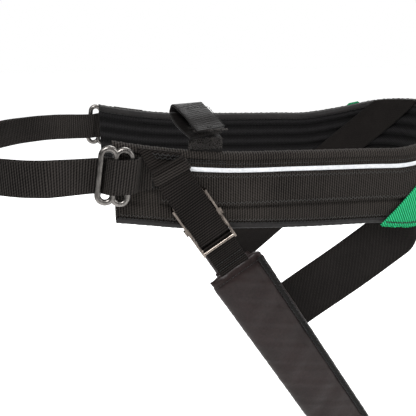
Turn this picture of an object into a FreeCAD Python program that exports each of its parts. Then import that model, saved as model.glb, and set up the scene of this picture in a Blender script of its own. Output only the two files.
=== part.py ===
"""Tree climbing saddle: a padded waist belt with front straps, leg loops and steel hardware."""
import FreeCAD, Part
import math
import os

from FreeCAD import Placement, Rotation, Vector

doc = FreeCAD.newDocument("tree_climbing_saddle")
sheet = doc.addObject("Spreadsheet::Sheet", "sizes")

# Driving dimensions, in millimetres and degrees. X runs from front to back, Z is up.
SIZES = [
    ("front_end_x", -148.0),
    ("curve_centre_x", 70.0),
    ("outer_radius", 110.0),
    ("pad_thickness", 10.0),
    ("shell_thickness", 1.4),
    ("lining_thickness", 2.0),
    ("binding_height", 5.0),
    ("layer_gap", 0.2),
    ("webbing_width", 25.4),
    ("webbing_thickness", 1.6),
    ("hip_strap_width", 50.0),
    ("hip_strap_thickness", 1.8),
    ("webbing_drop", 15.2),
    ("webbing_start_x", -117.0),
    ("piping_drop", 11.4),
    ("piping_height", 3.4),
    ("piping_depth", 1.5),
    ("hip_strap_slope", 43.0),
    ("hip_rear_width", 34.0),
    ("hip_strap_foot_s", 98.3),
    ("wear_layer_slope", 45.0),
    ("wear_layer_foot_s", 97.0),
    ("ring_wire_radius", 2.25),
    ("ring_bar_pitch", 10.5),
    ("ring_bar_length", 28.0),
    ("ring_x", -148.0),
    ("ring_y", -116.0),
    ("ring_z", 6.8),
    ("ring_tilt", 9.0),
    ("leg_x", -73.8),
    ("leg_y", -114.6),
    ("leg_z", -48.5),
    ("leg_tilt", 57.5),
    ("leg_top_tilt", 63.5),
    ("leg_hinge_z", -2.0),
    ("swing_room", 8.2),
    ("strap_top_room", 1.6),
    ("buckle_length", 42.0),
    ("buckle_inner_width", 26.6),
    ("flange_thickness", 1.5),
    ("flange_height", 8.6),
    ("buckle_bar_radius", 1.8),
    ("front_bar_radius", 1.3),
    ("front_bar_height", 5.15),
    ("slide_slot_length", 12.0),
    ("slide_slot_width", 3.2),
    ("slide_slot_centre", -21.0),
    ("sleeve_start", 25.0),
    ("sleeve_width", 49.0),
    ("sleeve_out", 3.2),
    ("sleeve_in", 7.4),
    ("cover_thickness", 1.0),
    ("loop_straight", 225.0),
    ("loop_radius", 40.0),
    ("loop_lean", 20.0),
    ("sleeve_return_u", 118.0),
    ("webbing_return_u", 84.0),
    ("loop_strap_x", -81.0),
    ("loop_strap_lean", 10.0),
    ("loop_strap_droop", 50.0),
    ("loop_crest_height", 26.0),
    ("front_x", -262.0),
    ("front_z", 6.8),
    ("front_arc_radius", 86.0),
    ("front_lead_angle", 12.0),
    ("button_travel", 3.0),
    ("spring_radius", 1.6),
    ("spring_wire", 0.45),
]
for row, (alias, value) in enumerate(SIZES, start=1):
    sheet.set(f"A{row}", alias)
    sheet.set(f"B{row}", str(value))
    sheet.setAlias(f"B{row}", alias)
doc.recompute()

kept = []


def size(alias):
    """The value of one driving dimension."""
    return float(getattr(sheet, alias))


def expr(text):
    """Turn {alias} marks into references to the sheet."""
    return text.replace("{", "sizes.").replace("}", "")


def bind(obj, **properties):
    for name, text in properties.items():
        obj.setExpression(name, expr(text))
    return obj


def keep(obj, label):
    """Give a finished sub-part its label and list it for export."""
    obj.Label = label
    kept.append(obj)
    return obj


def box(name, length, width, height, corner=(0, 0, 0)):
    made = bind(doc.addObject("Part::Box", name), Length=length, Width=width, Height=height)
    for axis, text in zip("xyz", corner):
        made.setExpression(f"Placement.Base.{axis}", expr(str(text)))
    return made


def cylinder(name, radius, height, centre=(0, 0, 0), turn=None):
    made = bind(doc.addObject("Part::Cylinder", name), Radius=radius, Height=height)
    if turn:
        made.Placement = Placement(Vector(), turn)
    for axis, text in zip("xyz", centre):
        made.setExpression(f"Placement.Base.{axis}", expr(str(text)))
    return made


def fuse(name, *shapes):
    made = doc.addObject("Part::MultiFuse", name)
    made.Shapes = list(shapes)
    made.Refine = True
    return made


def common(name, *shapes):
    made = doc.addObject("Part::MultiCommon", name)
    made.Shapes = list(shapes)
    return made


def cut(name, base, tool):
    made = doc.addObject("Part::Cut", name)
    made.Base = base
    made.Tool = tool
    return made


def feature(name, shape, placement=None):
    made = doc.addObject("Part::Feature", name)
    made.Shape = shape
    if placement:
        made.Placement = placement
    return made


def mirrored(obj, label):
    """The same sub-part on the wearer's right."""
    made = doc.addObject("Part::Mirroring", label + "_mirror")
    made.Source = obj
    made.Normal = Vector(0, 1, 0)
    return keep(made, label)


def pair(obj, name):
    keep(obj, "left_" + name)
    mirrored(obj, "right_" + name)


# ------------------------------------------------------------------ waist belt

TOP_EDGE = [(-152, 31), (-125, 25.8), (-100, 22), (-68, 18.8), (-10, 17), (50, 15.6), (85, 15),
            (125, 22), (160, 33), (190, 39)]
BOTTOM_EDGE = [(-152, -30), (-124, -34.6), (-100, -38.6), (-55, -42), (-5, -45), (50, -46.5),
               (90, -47), (125, -42), (160, -33), (190, -28)]
REACH = 140.0


def edge_curve(points, raise_by):
    curve = Part.BSplineCurve()
    curve.interpolate([Vector(x, 0, z + raise_by) for x, z in points])
    return curve


def edge_z(points, x):
    """Height of a belt edge above the waist's centre at one X."""
    for (x0, z0), (x1, z1) in zip(points, points[1:]):
        if x <= x1:
            return z0 + (z1 - z0) * (x - x0) / (x1 - x0)
    return points[-1][1]


def side_prism(name, upper, lower):
    """A slab across the belt between two curves seen from the side: (points, raise) each."""
    top = edge_curve(*upper)
    bottom = edge_curve(*lower)
    first = Part.makeLine(bottom.StartPoint, top.StartPoint)
    last = Part.makeLine(top.EndPoint, bottom.EndPoint)
    wire = Part.Wire([top.toShape(), last, bottom.toShape(), first])
    solid = Part.Face(wire).extrude(Vector(0, 2 * REACH, 0))
    solid.translate(Vector(0, -REACH, 0))
    return feature(name, solid)


def stadium(name, offset, start="{front_end_x}"):
    """A U seen from above: parallel sides with a round back, grown by an offset."""
    radius = "({outer_radius} + " + offset + ")"
    back = cylinder(name + "_back", radius, "2 * %g" % REACH, ("{curve_centre_x}", 0, -REACH))
    sides = box(name + "_sides", "{curve_centre_x} - " + start, "2 * " + radius, "2 * %g" % REACH,
                (start, "-" + radius, -REACH))
    return fuse(name, back, sides)


def u_layer(name, outer, inner, start="{front_end_x}"):
    hollow = stadium(name + "_inner", inner, start + " - 1")
    return cut(name + "_plan", stadium(name + "_outer", outer, start), hollow)


SHELL_IN = "-{shell_thickness}"
FOAM_OUT = "(-{shell_thickness} - {layer_gap})"
FOAM_IN = "(-{pad_thickness} + {lining_thickness} + {layer_gap})"
LINING_OUT = "(-{pad_thickness} + {lining_thickness})"
binding = size("binding_height")
full = side_prism("full_height", (TOP_EDGE, 0), (BOTTOM_EDGE, 0))
body_height = side_prism("between_bindings", (TOP_EDGE, -binding), (BOTTOM_EDGE, binding))
foam_height = side_prism("foam_height", (TOP_EDGE, -binding - 0.2), (BOTTOM_EDGE, binding + 0.2))

keep(common("shell", u_layer("shell", "0", SHELL_IN), body_height), "belt_outer_shell")
keep(common("foam", u_layer("foam", FOAM_OUT, FOAM_IN), foam_height), "belt_foam_core")
keep(common("lining", u_layer("lining", LINING_OUT, "-{pad_thickness}"), body_height),
     "belt_inner_lining")
top_strip = side_prism("top_strip", (TOP_EDGE, 0), (TOP_EDGE, -binding))
bottom_strip = side_prism("bottom_strip", (BOTTOM_EDGE, binding), (BOTTOM_EDGE, 0))
for label, strip in (("belt_top_binding", top_strip), ("belt_bottom_binding", bottom_strip)):
    keep(common(label + "_band", u_layer(label, "0", "-{pad_thickness}"), strip), label)

drop = size("webbing_drop")
webbing_band = side_prism("webbing_band", (TOP_EDGE, -drop),
                          (TOP_EDGE, -drop - size("webbing_width")))
keep(common("webbing_wrap",
            u_layer("webbing", "{webbing_thickness}", "0.05", "{webbing_start_x}"),
            webbing_band), "waist_webbing")
piping_drop = size("piping_drop")
piping_band = side_prism("piping_band", (TOP_EDGE, -piping_drop),
                         (TOP_EDGE, -piping_drop - size("piping_height")))
keep(common("piping_wrap",
            u_layer("piping", "{piping_depth}", "0.05", "{webbing_start_x}"),
            piping_band), "reflective_piping")


# ------------------------------------------- diagonal straps sewn to the belt's rear

def wrap_x(distance, radius):
    """X of a point at a distance along the belt's side and round its back."""
    past = distance - size("curve_centre_x")
    if past <= 0:
        return distance
    return size("curve_centre_x") + radius * math.sin(min(past / radius, math.pi / 2))


def diagonal_prism(name, foot, slope, wide, radius, low, high):
    """A slab that cuts a strap of constant width out of a layer on the left half."""
    angle = math.radians(slope)
    half = wide / 2 / math.sin(angle)
    steps = 8
    edges = []
    for side in (-half, half):
        points = []
        for step in range(steps + 1):
            z = low + (high - low) * step / steps
            distance = foot + (z - size("leg_z")) / math.tan(angle) + side
            points.append(Vector(wrap_x(distance, radius), 0, z))
        edges.append(points)
    outline = edges[0] + edges[1][::-1]
    face = Part.Face(Part.makePolygon(outline + outline[:1]))
    slab = face.extrude(Vector(0, -REACH, 0))
    slab.translate(Vector(0, -0.3, 0))
    return feature(name, slab)


def diagonal_strap(name, foot, slope, wide, outer, inner, radius, strip):
    diagonal = diagonal_prism(name + "_diagonal", foot, slope, wide, radius, -60.0, 50.0)
    return common(name, u_layer(name, outer, inner), diagonal, strip)


inside = "(-{pad_thickness} - 0.15)"
pair(diagonal_strap("hip_strap_rear", size("hip_strap_foot_s"), size("hip_strap_slope"),
                    size("hip_rear_width"), inside,
                    "(-{pad_thickness} - 0.15 - {hip_strap_thickness})",
                    size("outer_radius") - size("pad_thickness"), full), "hip_strap_rear")
outside = "({webbing_thickness} + 0.15)"
wear_band = side_prism("wear_band", (TOP_EDGE, 1.0), (BOTTOM_EDGE, -3.0))
pair(diagonal_strap("wear_layer", size("wear_layer_foot_s"), size("wear_layer_slope"),
                    size("hip_strap_width"),
                    "({webbing_thickness} + 0.15 + {webbing_thickness})", outside,
                    size("outer_radius"), wear_band), "hip_wear_layer")


# -------------------------------------------------------------------- leg loops

def leg_frame(tilt, x, y, z):
    """Local X down the strap, local Y across it and local Z away from the wearer."""
    angle = math.radians(tilt)
    down = Vector(math.cos(angle), 0, -math.sin(angle))
    across = Vector(math.sin(angle), 0, math.cos(angle))
    return Placement(Vector(x, y, z), Rotation(down, across, Vector(0, -1, 0), "XYZ"))


leg = leg_frame(size("leg_tilt"), size("leg_x"), size("leg_y"), size("leg_z"))


def in_leg(obj):
    obj.Placement = leg
    return obj


def loop_band(outer, inner, start, end, width):
    """The thigh loop's profile between two offsets, from the buckle down and back up."""
    straight = size("loop_straight")
    radius = size("loop_radius")
    lean = math.radians(size("loop_lean"))
    back = Vector(-math.cos(lean), 0, math.sin(lean))
    edge = -width / 2

    def path(offset):
        middle = Vector(straight, edge, -radius)
        reach = radius + offset
        turn_end = middle + Vector(-math.sin(lean), 0, -math.cos(lean)) * reach
        length = (turn_end.x - end) / math.cos(lean)
        return [Vector(start, edge, offset), Vector(straight, edge, offset),
                middle + Vector(reach, 0, 0), turn_end, turn_end + back * length]

    a = path(outer)
    b = path(-inner)
    edges = [
        Part.makeLine(a[0], a[1]), Part.Arc(a[1], a[2], a[3]).toShape(), Part.makeLine(a[3], a[4]),
        Part.makeLine(a[4], b[4]),
        Part.makeLine(b[4], b[3]), Part.Arc(b[3], b[2], b[1]).toShape(), Part.makeLine(b[1], b[0]),
        Part.makeLine(b[0], a[0]),
    ]
    return Part.Face(Part.Wire(edges)).extrude(Vector(0, width, 0))


web = size("webbing_thickness")
width = size("webbing_width")
cover = size("cover_thickness")
sleeve = (size("sleeve_out"), size("sleeve_in"), size("sleeve_start"), size("sleeve_return_u"))
outer_block = loop_band(*sleeve, size("sleeve_width"))
cavity = loop_band(sleeve[0] - cover, sleeve[1] - cover, sleeve[2] - 1, sleeve[3] - 1,
                   size("sleeve_width") - 2 * cover)
pair(in_leg(cut("sleeve_cover", feature("sleeve_block", outer_block),
                feature("sleeve_cavity", cavity))), "leg_sleeve_cover")
foam = loop_band(-web / 2 - 0.2, sleeve[1] - cover - 0.3, sleeve[2] + 1, sleeve[3] + 1,
                 size("sleeve_width") - 2 * cover - 0.6)
pair(feature("sleeve_foam", foam, leg), "leg_sleeve_foam")
tape_start = size("sleeve_start") + 4
tape = Part.makeBox(size("loop_straight") - tape_start, 4.0, 0.8,
                    Vector(tape_start, size("sleeve_width") / 2 - 5.5, sleeve[0] + 0.05))
pair(feature("closure_tape", tape, leg), "sleeve_closure_tape")

# The lower webbing loops round the buckle's bottom bar and runs through the sleeve.
bar = size("buckle_bar_radius")
around = bar + 0.25
loop_web = loop_band(web / 2, web / 2, 10.0, size("webbing_return_u"), width)
fold_outer = Part.makeCylinder(around + web, width, Vector(0, -width / 2, 0), Vector(0, 1, 0))
fold_inner = Part.makeCylinder(around, width, Vector(0, -width / 2, 0), Vector(0, 1, 0))
tail_out = Part.makeBox(12.0, width, 2 * (around + web), Vector(0, -width / 2, -around - web))
tail_in = Part.makeBox(10.0, width, 2 * around, Vector(-1, -width / 2, -around))
fold = fold_outer.fuse(tail_out).cut(fold_inner).cut(tail_in)
lower_webbing = fold.fuse(loop_web).removeSplitter()
pair(feature("lower_webbing", lower_webbing, leg), "leg_strap_lower")

# Buckle frame: two slotted side flanges on a base plate, with a round bar across the foot.
half_in = "{buckle_inner_width} / 2"
flange_start = "-{buckle_length}"
flange_z = "-2.3"
flanges = []
for side in ("near", "far"):
    y = "-" + half_in + " - {flange_thickness}" if side == "near" else half_in
    plate = box("flange_" + side, "{buckle_length} + 2.2", "{flange_thickness}", "{flange_height}",
                (flange_start, y, flange_z))
    slot = box("slot_" + side, "{slide_slot_length}", "{flange_thickness} + 2",
               "{slide_slot_width}", ("{slide_slot_centre} - {slide_slot_length} / 2",
                                      y + " - 1", "2.5 - {slide_slot_width} / 2"))
    flanges.append(cut("slotted_" + side, plate, slot))
base = box("buckle_base", "12", "{buckle_inner_width}", "1.2", (flange_start, "-" + half_in,
                                                               flange_z))
bar_turn = Rotation(Vector(1, 0, 0), -90)
foot_bar = cylinder("foot_bar", "{buckle_bar_radius}", "{buckle_inner_width}",
                    (0, "-" + half_in, 0), bar_turn)
front_bar = cylinder("front_bar", "{front_bar_radius}", "{buckle_inner_width}",
                     (0.4, "-" + half_in, "{front_bar_height}"), bar_turn)
pair(in_leg(fuse("buckle_frame", *flanges, base, foot_bar, front_bar)), "leg_buckle_frame")

# Slide bar: a flat plate inside the strap's fold, with a tab in each flange's slot.
plate = box("slide_plate", "15", "{buckle_inner_width} - 0.6", "2.2",
            ("{slide_slot_centre} - 2", "0.3 - " + half_in, "2.5 - 1.1"))
tabs = box("slide_tabs", "5", "{buckle_inner_width} + 2 * {flange_thickness} + 3", "2.6",
           ("{slide_slot_centre} - 2.5", "-" + half_in + " - {flange_thickness} - 1.5",
            "2.5 - 1.3"))
pair(in_leg(fuse("slide_bar", plate, tabs)), "leg_buckle_slide_bar")

# Upper strap: two layers folded round the slide plate's lower edge.
fold_u = size("slide_slot_centre") + 13.6
centre_z = 2.5
gap = 1.5
hinge_u = -(size("leg_hinge_z") - size("leg_z")) / math.sin(math.radians(size("leg_tilt")))


def folded_strap(start, end):
    """Two layers of webbing joined by a round fold at their lower end."""
    outer = Part.makeBox(end - start, width, 2 * (gap + web),
                         Vector(start, -width / 2, centre_z - gap - web))
    inner = Part.makeBox(end - start + 2, width, 2 * gap,
                         Vector(start - 1, -width / 2, centre_z - gap))
    at = Vector(end, -width / 2, centre_z)
    round_out = Part.makeCylinder(gap + web, width, at, Vector(0, 1, 0))
    round_in = Part.makeCylinder(gap, width, at, Vector(0, 1, 0))
    return outer.fuse(round_out).cut(inner).cut(round_in).removeSplitter()


def clear_of_hinge(shape, place, low, high):
    """A piece of the strap in world space, kept between two heights beside the hinge line."""
    moved = shape.copy()
    moved.Placement = place * moved.Placement
    return moved.common(Part.makeBox(400, 400, high - low, Vector(-300, -300, low)))


strap_low = folded_strap(hinge_u - 12.0, fold_u)
hinge_z = size("leg_hinge_z")
swing_room = size("swing_room")
pair(feature("folded_strap", clear_of_hinge(strap_low, leg, -150.0, hinge_z - swing_room)),
     "leg_strap")

# The same two layers above the hinge line, sewn to the belt's face near its top edge.
down = math.radians(size("leg_tilt"))
hinge_x = size("leg_x") + hinge_u * math.cos(down)
leg_top = leg_frame(size("leg_top_tilt"), hinge_x, size("leg_y"), size("leg_hinge_z"))
top_length = 23.5
top_foot = hinge_z + size("strap_top_room")
inner_layer = Part.makeBox(top_length + 28, width, web,
                           Vector(-top_length - 18, -width / 2, centre_z - gap - web))
outer_layer = Part.makeBox(top_length + 5, width, web,
                           Vector(-top_length + 5, -width / 2, centre_z + gap))
strap_top = clear_of_hinge(inner_layer, leg_top, top_foot, 60.0).common(full.Shape)
pair(feature("strap_top", strap_top), "leg_strap_top")
pair(feature("strap_tail", clear_of_hinge(outer_layer, leg_top, top_foot, 60.0)),
     "leg_strap_tail")
keeper_out = Part.makeBox(6.5, width + 4, 2 * (gap + web) + 2.6,
                          Vector(-14.5, -width / 2 - 2, centre_z - gap - web - 1.3))
keeper_in = Part.makeBox(8.5, width + 1.4, 2 * (gap + web) + 0.4,
                         Vector(-15.5, -width / 2 - 0.7, centre_z - gap - web - 0.2))
pair(feature("keeper", keeper_out.cut(keeper_in), leg_top), "strap_keeper")

# Hip strap below the belt: from the bottom edge forward to the back of the thigh loop.
hip_width = size("hip_strap_width")
hip_high = Vector(106.0, -92.0, -51.5)
hip_low = Vector(-20.0, -80.0, -143.0)
run = hip_low - hip_high
along = Vector(run).normalize()
outward = Vector(0, -1, 0)
across = outward.cross(along).normalize()
normal = along.cross(across)
hip_frame = Placement(hip_high, Rotation(along, across, normal, "XYZ"))
hip = Part.makeBox(run.Length, hip_width, size("hip_strap_thickness"), Vector(0, -hip_width / 2, 0))
trim = Part.makeBox(400, 200, 100, Vector(-200, -200, -49.6))
hip.Placement = hip_frame
hip = hip.cut(trim)
pair(feature("hip_strap", hip), "hip_strap")


# --------------------------------------------------------- adjuster rings and front straps

ring_turn = Rotation(Vector(0, 1, 0), size("ring_tilt"))
ring_place = Placement(Vector(size("ring_x"), size("ring_y"), size("ring_z")), ring_turn)
ring_parts = []
for index in (-1, 0, 1):
    ring_parts.append(cylinder(f"ring_bar_{index + 1}", "{ring_wire_radius}", "{ring_bar_length}",
                               (f"{index} * {{ring_bar_pitch}}", 0, "-{ring_bar_length} / 2")))
for side in (-1, 1):
    for up in (-1, 1):
        lobe = bind(doc.addObject("Part::Torus", f"ring_lobe_{side + 1}_{up + 1}"),
                    Radius1="{ring_bar_pitch} / 2", Radius2="{ring_wire_radius}")
        lobe.Angle3 = 180
        lobe.Placement = Placement(Vector(), Rotation(Vector(1, 0, 0), 90 * up))
        lobe.setExpression("Placement.Base.x", expr(f"{side} * {{ring_bar_pitch}} / 2"))
        lobe.setExpression("Placement.Base.z", expr(f"{up} * {{ring_bar_length}} / 2"))
        ring_parts.append(lobe)
ring = fuse("ring", *ring_parts)
ring.Placement = ring_place
pair(ring, "adjuster_ring")


def plan_strip(points, thickness, corner):
    """A strip seen from above that follows a centreline with rounded corners."""
    edges = []
    start = points[0]
    for before, at, after in zip(points, points[1:], points[2:]):
        into = (at - before).normalize()
        out = (after - at).normalize()
        turn = math.acos(max(-1.0, min(1.0, into.dot(out))))
        reach = min(corner * math.tan(turn / 2), 0.45 * min((at - before).Length,
                                                            (after - at).Length))
        first = at - into * reach
        last = at + out * reach
        bisector = (out - into).normalize()
        radius = reach / math.tan(turn / 2)
        middle = at + bisector * (radius / math.cos(turn / 2) - radius)
        edges.append(Part.makeLine(start, first))
        edges.append(Part.Arc(first, middle, last).toShape())
        start = last
    edges.append(Part.makeLine(start, points[-1]))
    spine = Part.Wire(edges)
    side = spine.makeOffset2D(thickness / 2, 0, False, True)
    other = spine.makeOffset2D(-thickness / 2, 0, False, True)
    ends = [Part.makeLine(side.OrderedVertexes[i].Point, other.OrderedVertexes[i].Point)
            for i in (0, -1)]
    return Part.Face(Part.Wire(Part.__sortEdges__(side.Edges + other.Edges + ends)))


strap_z = size("front_z") - width / 2
ring_x = size("ring_x")
pitch = size("ring_bar_pitch")
face_y = -size("outer_radius")
over_y = size("ring_y") - size("ring_wire_radius") - web / 2 - 1.6
under_y = size("ring_y") + size("ring_wire_radius") + web / 2 + 1.4
lead = math.radians(size("front_lead_angle"))
arc_radius = size("front_arc_radius")
buckle_x = size("front_x")
strap_gap = 2.6


def front_curve(inward, steps=5):
    """Points round the front corner, from beside the ring to the front buckle."""
    radius = arc_radius - inward
    centre = Vector(buckle_x + arc_radius, -29.0, 0)
    points = []
    for step in range(steps + 1):
        angle = lead + (math.pi / 2 - lead) * step / steps
        points.append(centre + Vector(-math.sin(angle), -math.cos(angle), 0) * radius)
    return points


# Beside the ring the strap's bends follow the tilted bars, so its width leans with them.
ring_tilt = math.radians(size("ring_tilt"))
lean_run = Vector(math.tan(ring_tilt), 0, 1) * width
sewn_points = [
    Vector(ring_x + 28, face_y - web / 2 - 0.1, 0),
    Vector(ring_x + 18, face_y - web / 2 - 0.1, 0),
    Vector(ring_x + 14, over_y, 0),
    Vector(ring_x - 1, over_y, 0),
    Vector(ring_x - pitch + 2.2, under_y, 0),
    Vector(ring_x - pitch - 9, under_y, 0),
]
sewn_face = plan_strip(sewn_points, web, 4.0)
sewn_face.translate(Vector(-lean_run.x / 2, 0, strap_z))
main_points = [Vector(ring_x - pitch - 5, under_y, 0)] + front_curve(-strap_gap)
main_points += [Vector(buckle_x - strap_gap, -21.2, 0)]
main_face = plan_strip(main_points, web, 6.0)
main_face.translate(Vector(0, 0, strap_z))
main_strap = main_face.extrude(Vector(0, 0, width)).fuse(sewn_face.extrude(lean_run))
pair(feature("front_strap", main_strap.removeSplitter()), "front_strap")

return_points = [
    Vector(ring_x + 3.5, under_y - 0.3, 0),
    Vector(ring_x - 3, under_y - 0.1, 0),
    Vector(ring_x - 7, under_y + 2.0, 0),
    Vector(ring_x - pitch - 5, under_y + 2.2, 0),
] + front_curve(strap_gap) + [Vector(buckle_x + strap_gap, -21.2, 0)]
return_face = plan_strip(return_points, web, 6.0)
return_face.translate(Vector(0, 0, strap_z))
pair(feature("front_return", return_face.extrude(Vector(0, 0, width))), "front_strap_return")


# ------------------------------------------------------------ hook-and-loop strap loops

lean = size("loop_strap_lean")
droop = size("loop_strap_droop")
base_y = face_y + 3.2
loop_gap = 6.4
base_height = 8.0
leaf_x = size("loop_strap_x")
leaf_z = edge_z(TOP_EDGE, leaf_x) + 1.6
base_leaf = Part.makeBox(width, web, base_height, Vector(leaf_x - width / 2, base_y, leaf_z))
crest_frame = Placement(Vector(leaf_x, base_y, leaf_z + base_height + 0.2),
                        Rotation(Vector(1, 0, 0), -droop) * Rotation(Vector(0, 1, 0), -lean))
# The loop's crest is split at its highest line, where the flap peels open.
crest_height = size("loop_crest_height")
crest_split = 0.25
flap_radius = loop_gap / 2
turn_out = Part.makeCylinder(flap_radius + web, width, Vector(-width / 2, -flap_radius, 0),
                             Vector(1, 0, 0))
turn_in = Part.makeCylinder(flap_radius, width, Vector(-width / 2, -flap_radius, 0),
                            Vector(1, 0, 0))
turn = turn_out.cut(turn_in)
base_quarter = turn.common(Part.makeBox(width, 20.0, 10.0,
                                        Vector(-width / 2, -flap_radius + crest_split, 0)))
flap_quarter = turn.common(Part.makeBox(width, 20.0, 10.0,
                                        Vector(-width / 2, -flap_radius - crest_split - 20.0, 0)))
upper_leaf = Part.makeBox(width, web, crest_height, Vector(-width / 2, 0, -crest_height))
crest_place = crest_frame * Placement(Vector(0, 0, crest_height), Rotation())
loop_base = upper_leaf.fuse(base_quarter).removeSplitter()
loop_base.Placement = crest_place
keep(feature("loop_base", base_leaf.fuse(loop_base)), "left_hook_loop_base")
flap_length = crest_height
flap_leaf = Part.makeBox(width, web, flap_length,
                         Vector(-width / 2, -loop_gap - web, -flap_length))
flap = flap_quarter.fuse(flap_leaf).removeSplitter()
flap.Placement = crest_place
keep(feature("loop_flap", flap), "left_hook_loop_flap")


# ------------------------------------------------------------------------ front buckle

def front_box(name, x, y, z):
    """A block of the front buckle between low and high limits about the buckle's centre."""
    return box(name, *(f"{high} - ({low})" for low, high in (x, y, z)),
               (f"{{front_x}} + {x[0]}", str(y[0]), f"{{front_z}} + {z[0]}"))


plate = front_box("receiver_plate", (3.4, 5.4), (-6, 17.2), (-18, 18))
web_wall = front_box("receiver_web", (-1, 3.5), (15.4, 17.2), (-16, 16))
stop_block = front_box("receiver_stop", (-1, 3.5), (12.2, 15.5), (-4.5, 4.5))
ear = front_box("receiver_ear", (-1, 1), (17.1, 24), (-17, 17))
ear_window = front_box("receiver_window", (-3, 3), (17.3, 21.6), (-13.6, 13.6))
receiver = fuse("receiver_blank", plate, web_wall, stop_block, ear)
keep(cut("receiver", receiver, ear_window), "front_buckle_back_plate")

cover_block = front_box("cover_block", (-5.4, 3.2), (-6, 15.2), (-18, 18))
cover_cavity = front_box("cover_cavity", (-3, 4), (-7, 16), (-16.5, 16.5))
cover_slot = front_box("cover_slot", (-2.2, 2.2), (2.7, 13.3), (-20, 20))
keep(cut("cover", cut("cover_hollow", cover_block, cover_cavity), cover_slot),
     "front_buckle_cover")

tongue_plate = front_box("tongue_plate", (-1, 1), (-24, 10.8), (-11.5, 11.5))
tongue_ear = front_box("tongue_ear", (-1, 1), (-24, -8.4), (-17, 17))
tongue_window = front_box("tongue_window", (-3, 3), (-21.6, -10.6), (-13.6, 13.6))
tongue_keyhole = front_box("tongue_keyhole", (-3, 3), (0, 6.2), (-8.2, 8.2))
tongue_mouth = front_box("tongue_mouth", (-3, 3), (6, 12), (-4.8, 4.8))
tongue = fuse("tongue_blank", tongue_plate, tongue_ear)
for hole in (tongue_window, tongue_keyhole, tongue_mouth):
    tongue = cut(hole.Name + "_cut", tongue, hole)
keep(tongue, "front_buckle_tongue")

rivet_turn = Rotation(Vector(0, 1, 0), 90)
rivets = []
for index, (y, z) in enumerate(((-4, -13.5), (-4, 13.5), (13.9, 0))):
    rivets.append(cylinder(f"rivet_{index}", "1.2", "12.6",
                           ("{front_x} - 6.6", str(y), f"{{front_z}} + {z}"), rivet_turn))
keep(fuse("rivets", *rivets), "front_buckle_rivets")


def ordered(limits, side):
    return tuple(sorted(limit * side for limit in limits))


def coil(low, high):
    """A compression spring along Z between two heights."""
    wire = size("spring_wire")
    length = high - low - 2 * wire
    helix = Part.makeHelix(length / 4, length, size("spring_radius"))
    start = helix.Edges[0].valueAt(helix.Edges[0].FirstParameter)
    profile = Part.Wire(Part.makeCircle(wire, start, Vector(0, 1, 0)))
    spring = Part.Wire(helix.Edges).makePipeShell([profile], True, True)
    spring.translate(Vector(buckle_x + 0.9, 13.0, low + wire))
    return spring


for name, side in (("upper", 1), ("lower", -1)):
    blocks = [
        front_box(name + "_pad", (-2, 2), (3, 13), ordered((15.0, 21), side)),
        front_box(name + "_stem", (1.25, 2.9), (3, 5.6), ordered((5.2, 15.3), side)),
        front_box(name + "_dog", (-1.4, 1.3), (3, 5.6), ordered((5.2, 7.8), side)),
        front_box(name + "_arm", (-1.1, 2.9), (11, 15), ordered((13.6, 15.2), side)),
    ]
    keep(fuse(name + "_button", *blocks), f"front_buckle_{name}_button")
    low, high = ordered((4.6, 13.5), side)
    keep(feature(name + "_coil", coil(size("front_z") + low, size("front_z") + high)),
         f"front_buckle_{name}_spring")


# ------------------------------------------------------------------------------ export

doc.recompute()
problems = []
for obj in doc.Objects:
    if "Invalid" in obj.State or "Error" in obj.State:
        problems.append(f"{obj.Name}: {obj.State}")
for obj in kept:
    if obj.Shape.isNull() or not obj.Shape.isValid() or not obj.Shape.Solids:
        problems.append(f"{obj.Label}: bad shape")
if problems:
    raise RuntimeError("; ".join(problems))
os.makedirs("parts", exist_ok=True)
for obj in kept:
    obj.Shape.exportStep(os.path.join("parts", obj.Label + ".step"))
    print(f"{obj.Label}: {len(obj.Shape.Solids)} solid(s), {obj.Shape.Volume:.0f} mm3")
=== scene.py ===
"""Looks of the tree climbing saddle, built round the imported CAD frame. Lengths here are in mm."""
import math
import random

import bmesh
import bpy
import numpy as np
from mathutils import Matrix, Vector


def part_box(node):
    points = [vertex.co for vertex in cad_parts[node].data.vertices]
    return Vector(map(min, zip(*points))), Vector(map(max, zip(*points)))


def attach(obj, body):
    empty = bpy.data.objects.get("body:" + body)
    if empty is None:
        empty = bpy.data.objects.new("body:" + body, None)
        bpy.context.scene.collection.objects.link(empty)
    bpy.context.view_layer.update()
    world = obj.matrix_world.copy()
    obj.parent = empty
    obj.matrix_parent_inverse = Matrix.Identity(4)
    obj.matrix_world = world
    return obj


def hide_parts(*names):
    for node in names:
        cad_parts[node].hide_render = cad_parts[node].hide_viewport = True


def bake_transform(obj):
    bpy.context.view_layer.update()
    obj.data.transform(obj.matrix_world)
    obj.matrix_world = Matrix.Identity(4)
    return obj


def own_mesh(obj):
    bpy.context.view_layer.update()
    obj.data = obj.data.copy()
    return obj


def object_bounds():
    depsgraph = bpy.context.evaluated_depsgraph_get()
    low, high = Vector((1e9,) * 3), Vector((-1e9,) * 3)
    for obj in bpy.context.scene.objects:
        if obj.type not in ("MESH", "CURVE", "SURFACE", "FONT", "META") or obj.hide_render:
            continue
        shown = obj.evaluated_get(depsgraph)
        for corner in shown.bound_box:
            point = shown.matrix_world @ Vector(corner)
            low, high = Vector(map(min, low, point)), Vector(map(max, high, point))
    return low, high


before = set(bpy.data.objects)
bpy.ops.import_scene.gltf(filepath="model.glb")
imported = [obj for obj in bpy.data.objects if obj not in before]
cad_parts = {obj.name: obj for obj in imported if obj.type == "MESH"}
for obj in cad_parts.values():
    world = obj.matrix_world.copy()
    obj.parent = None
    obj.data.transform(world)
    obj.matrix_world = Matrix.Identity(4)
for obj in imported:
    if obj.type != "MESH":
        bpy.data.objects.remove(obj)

cad_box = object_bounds()
MM = 0.001
rng = random.Random(7)

# ---------------------------------------------------------------- sizes shared with the CAD

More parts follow.
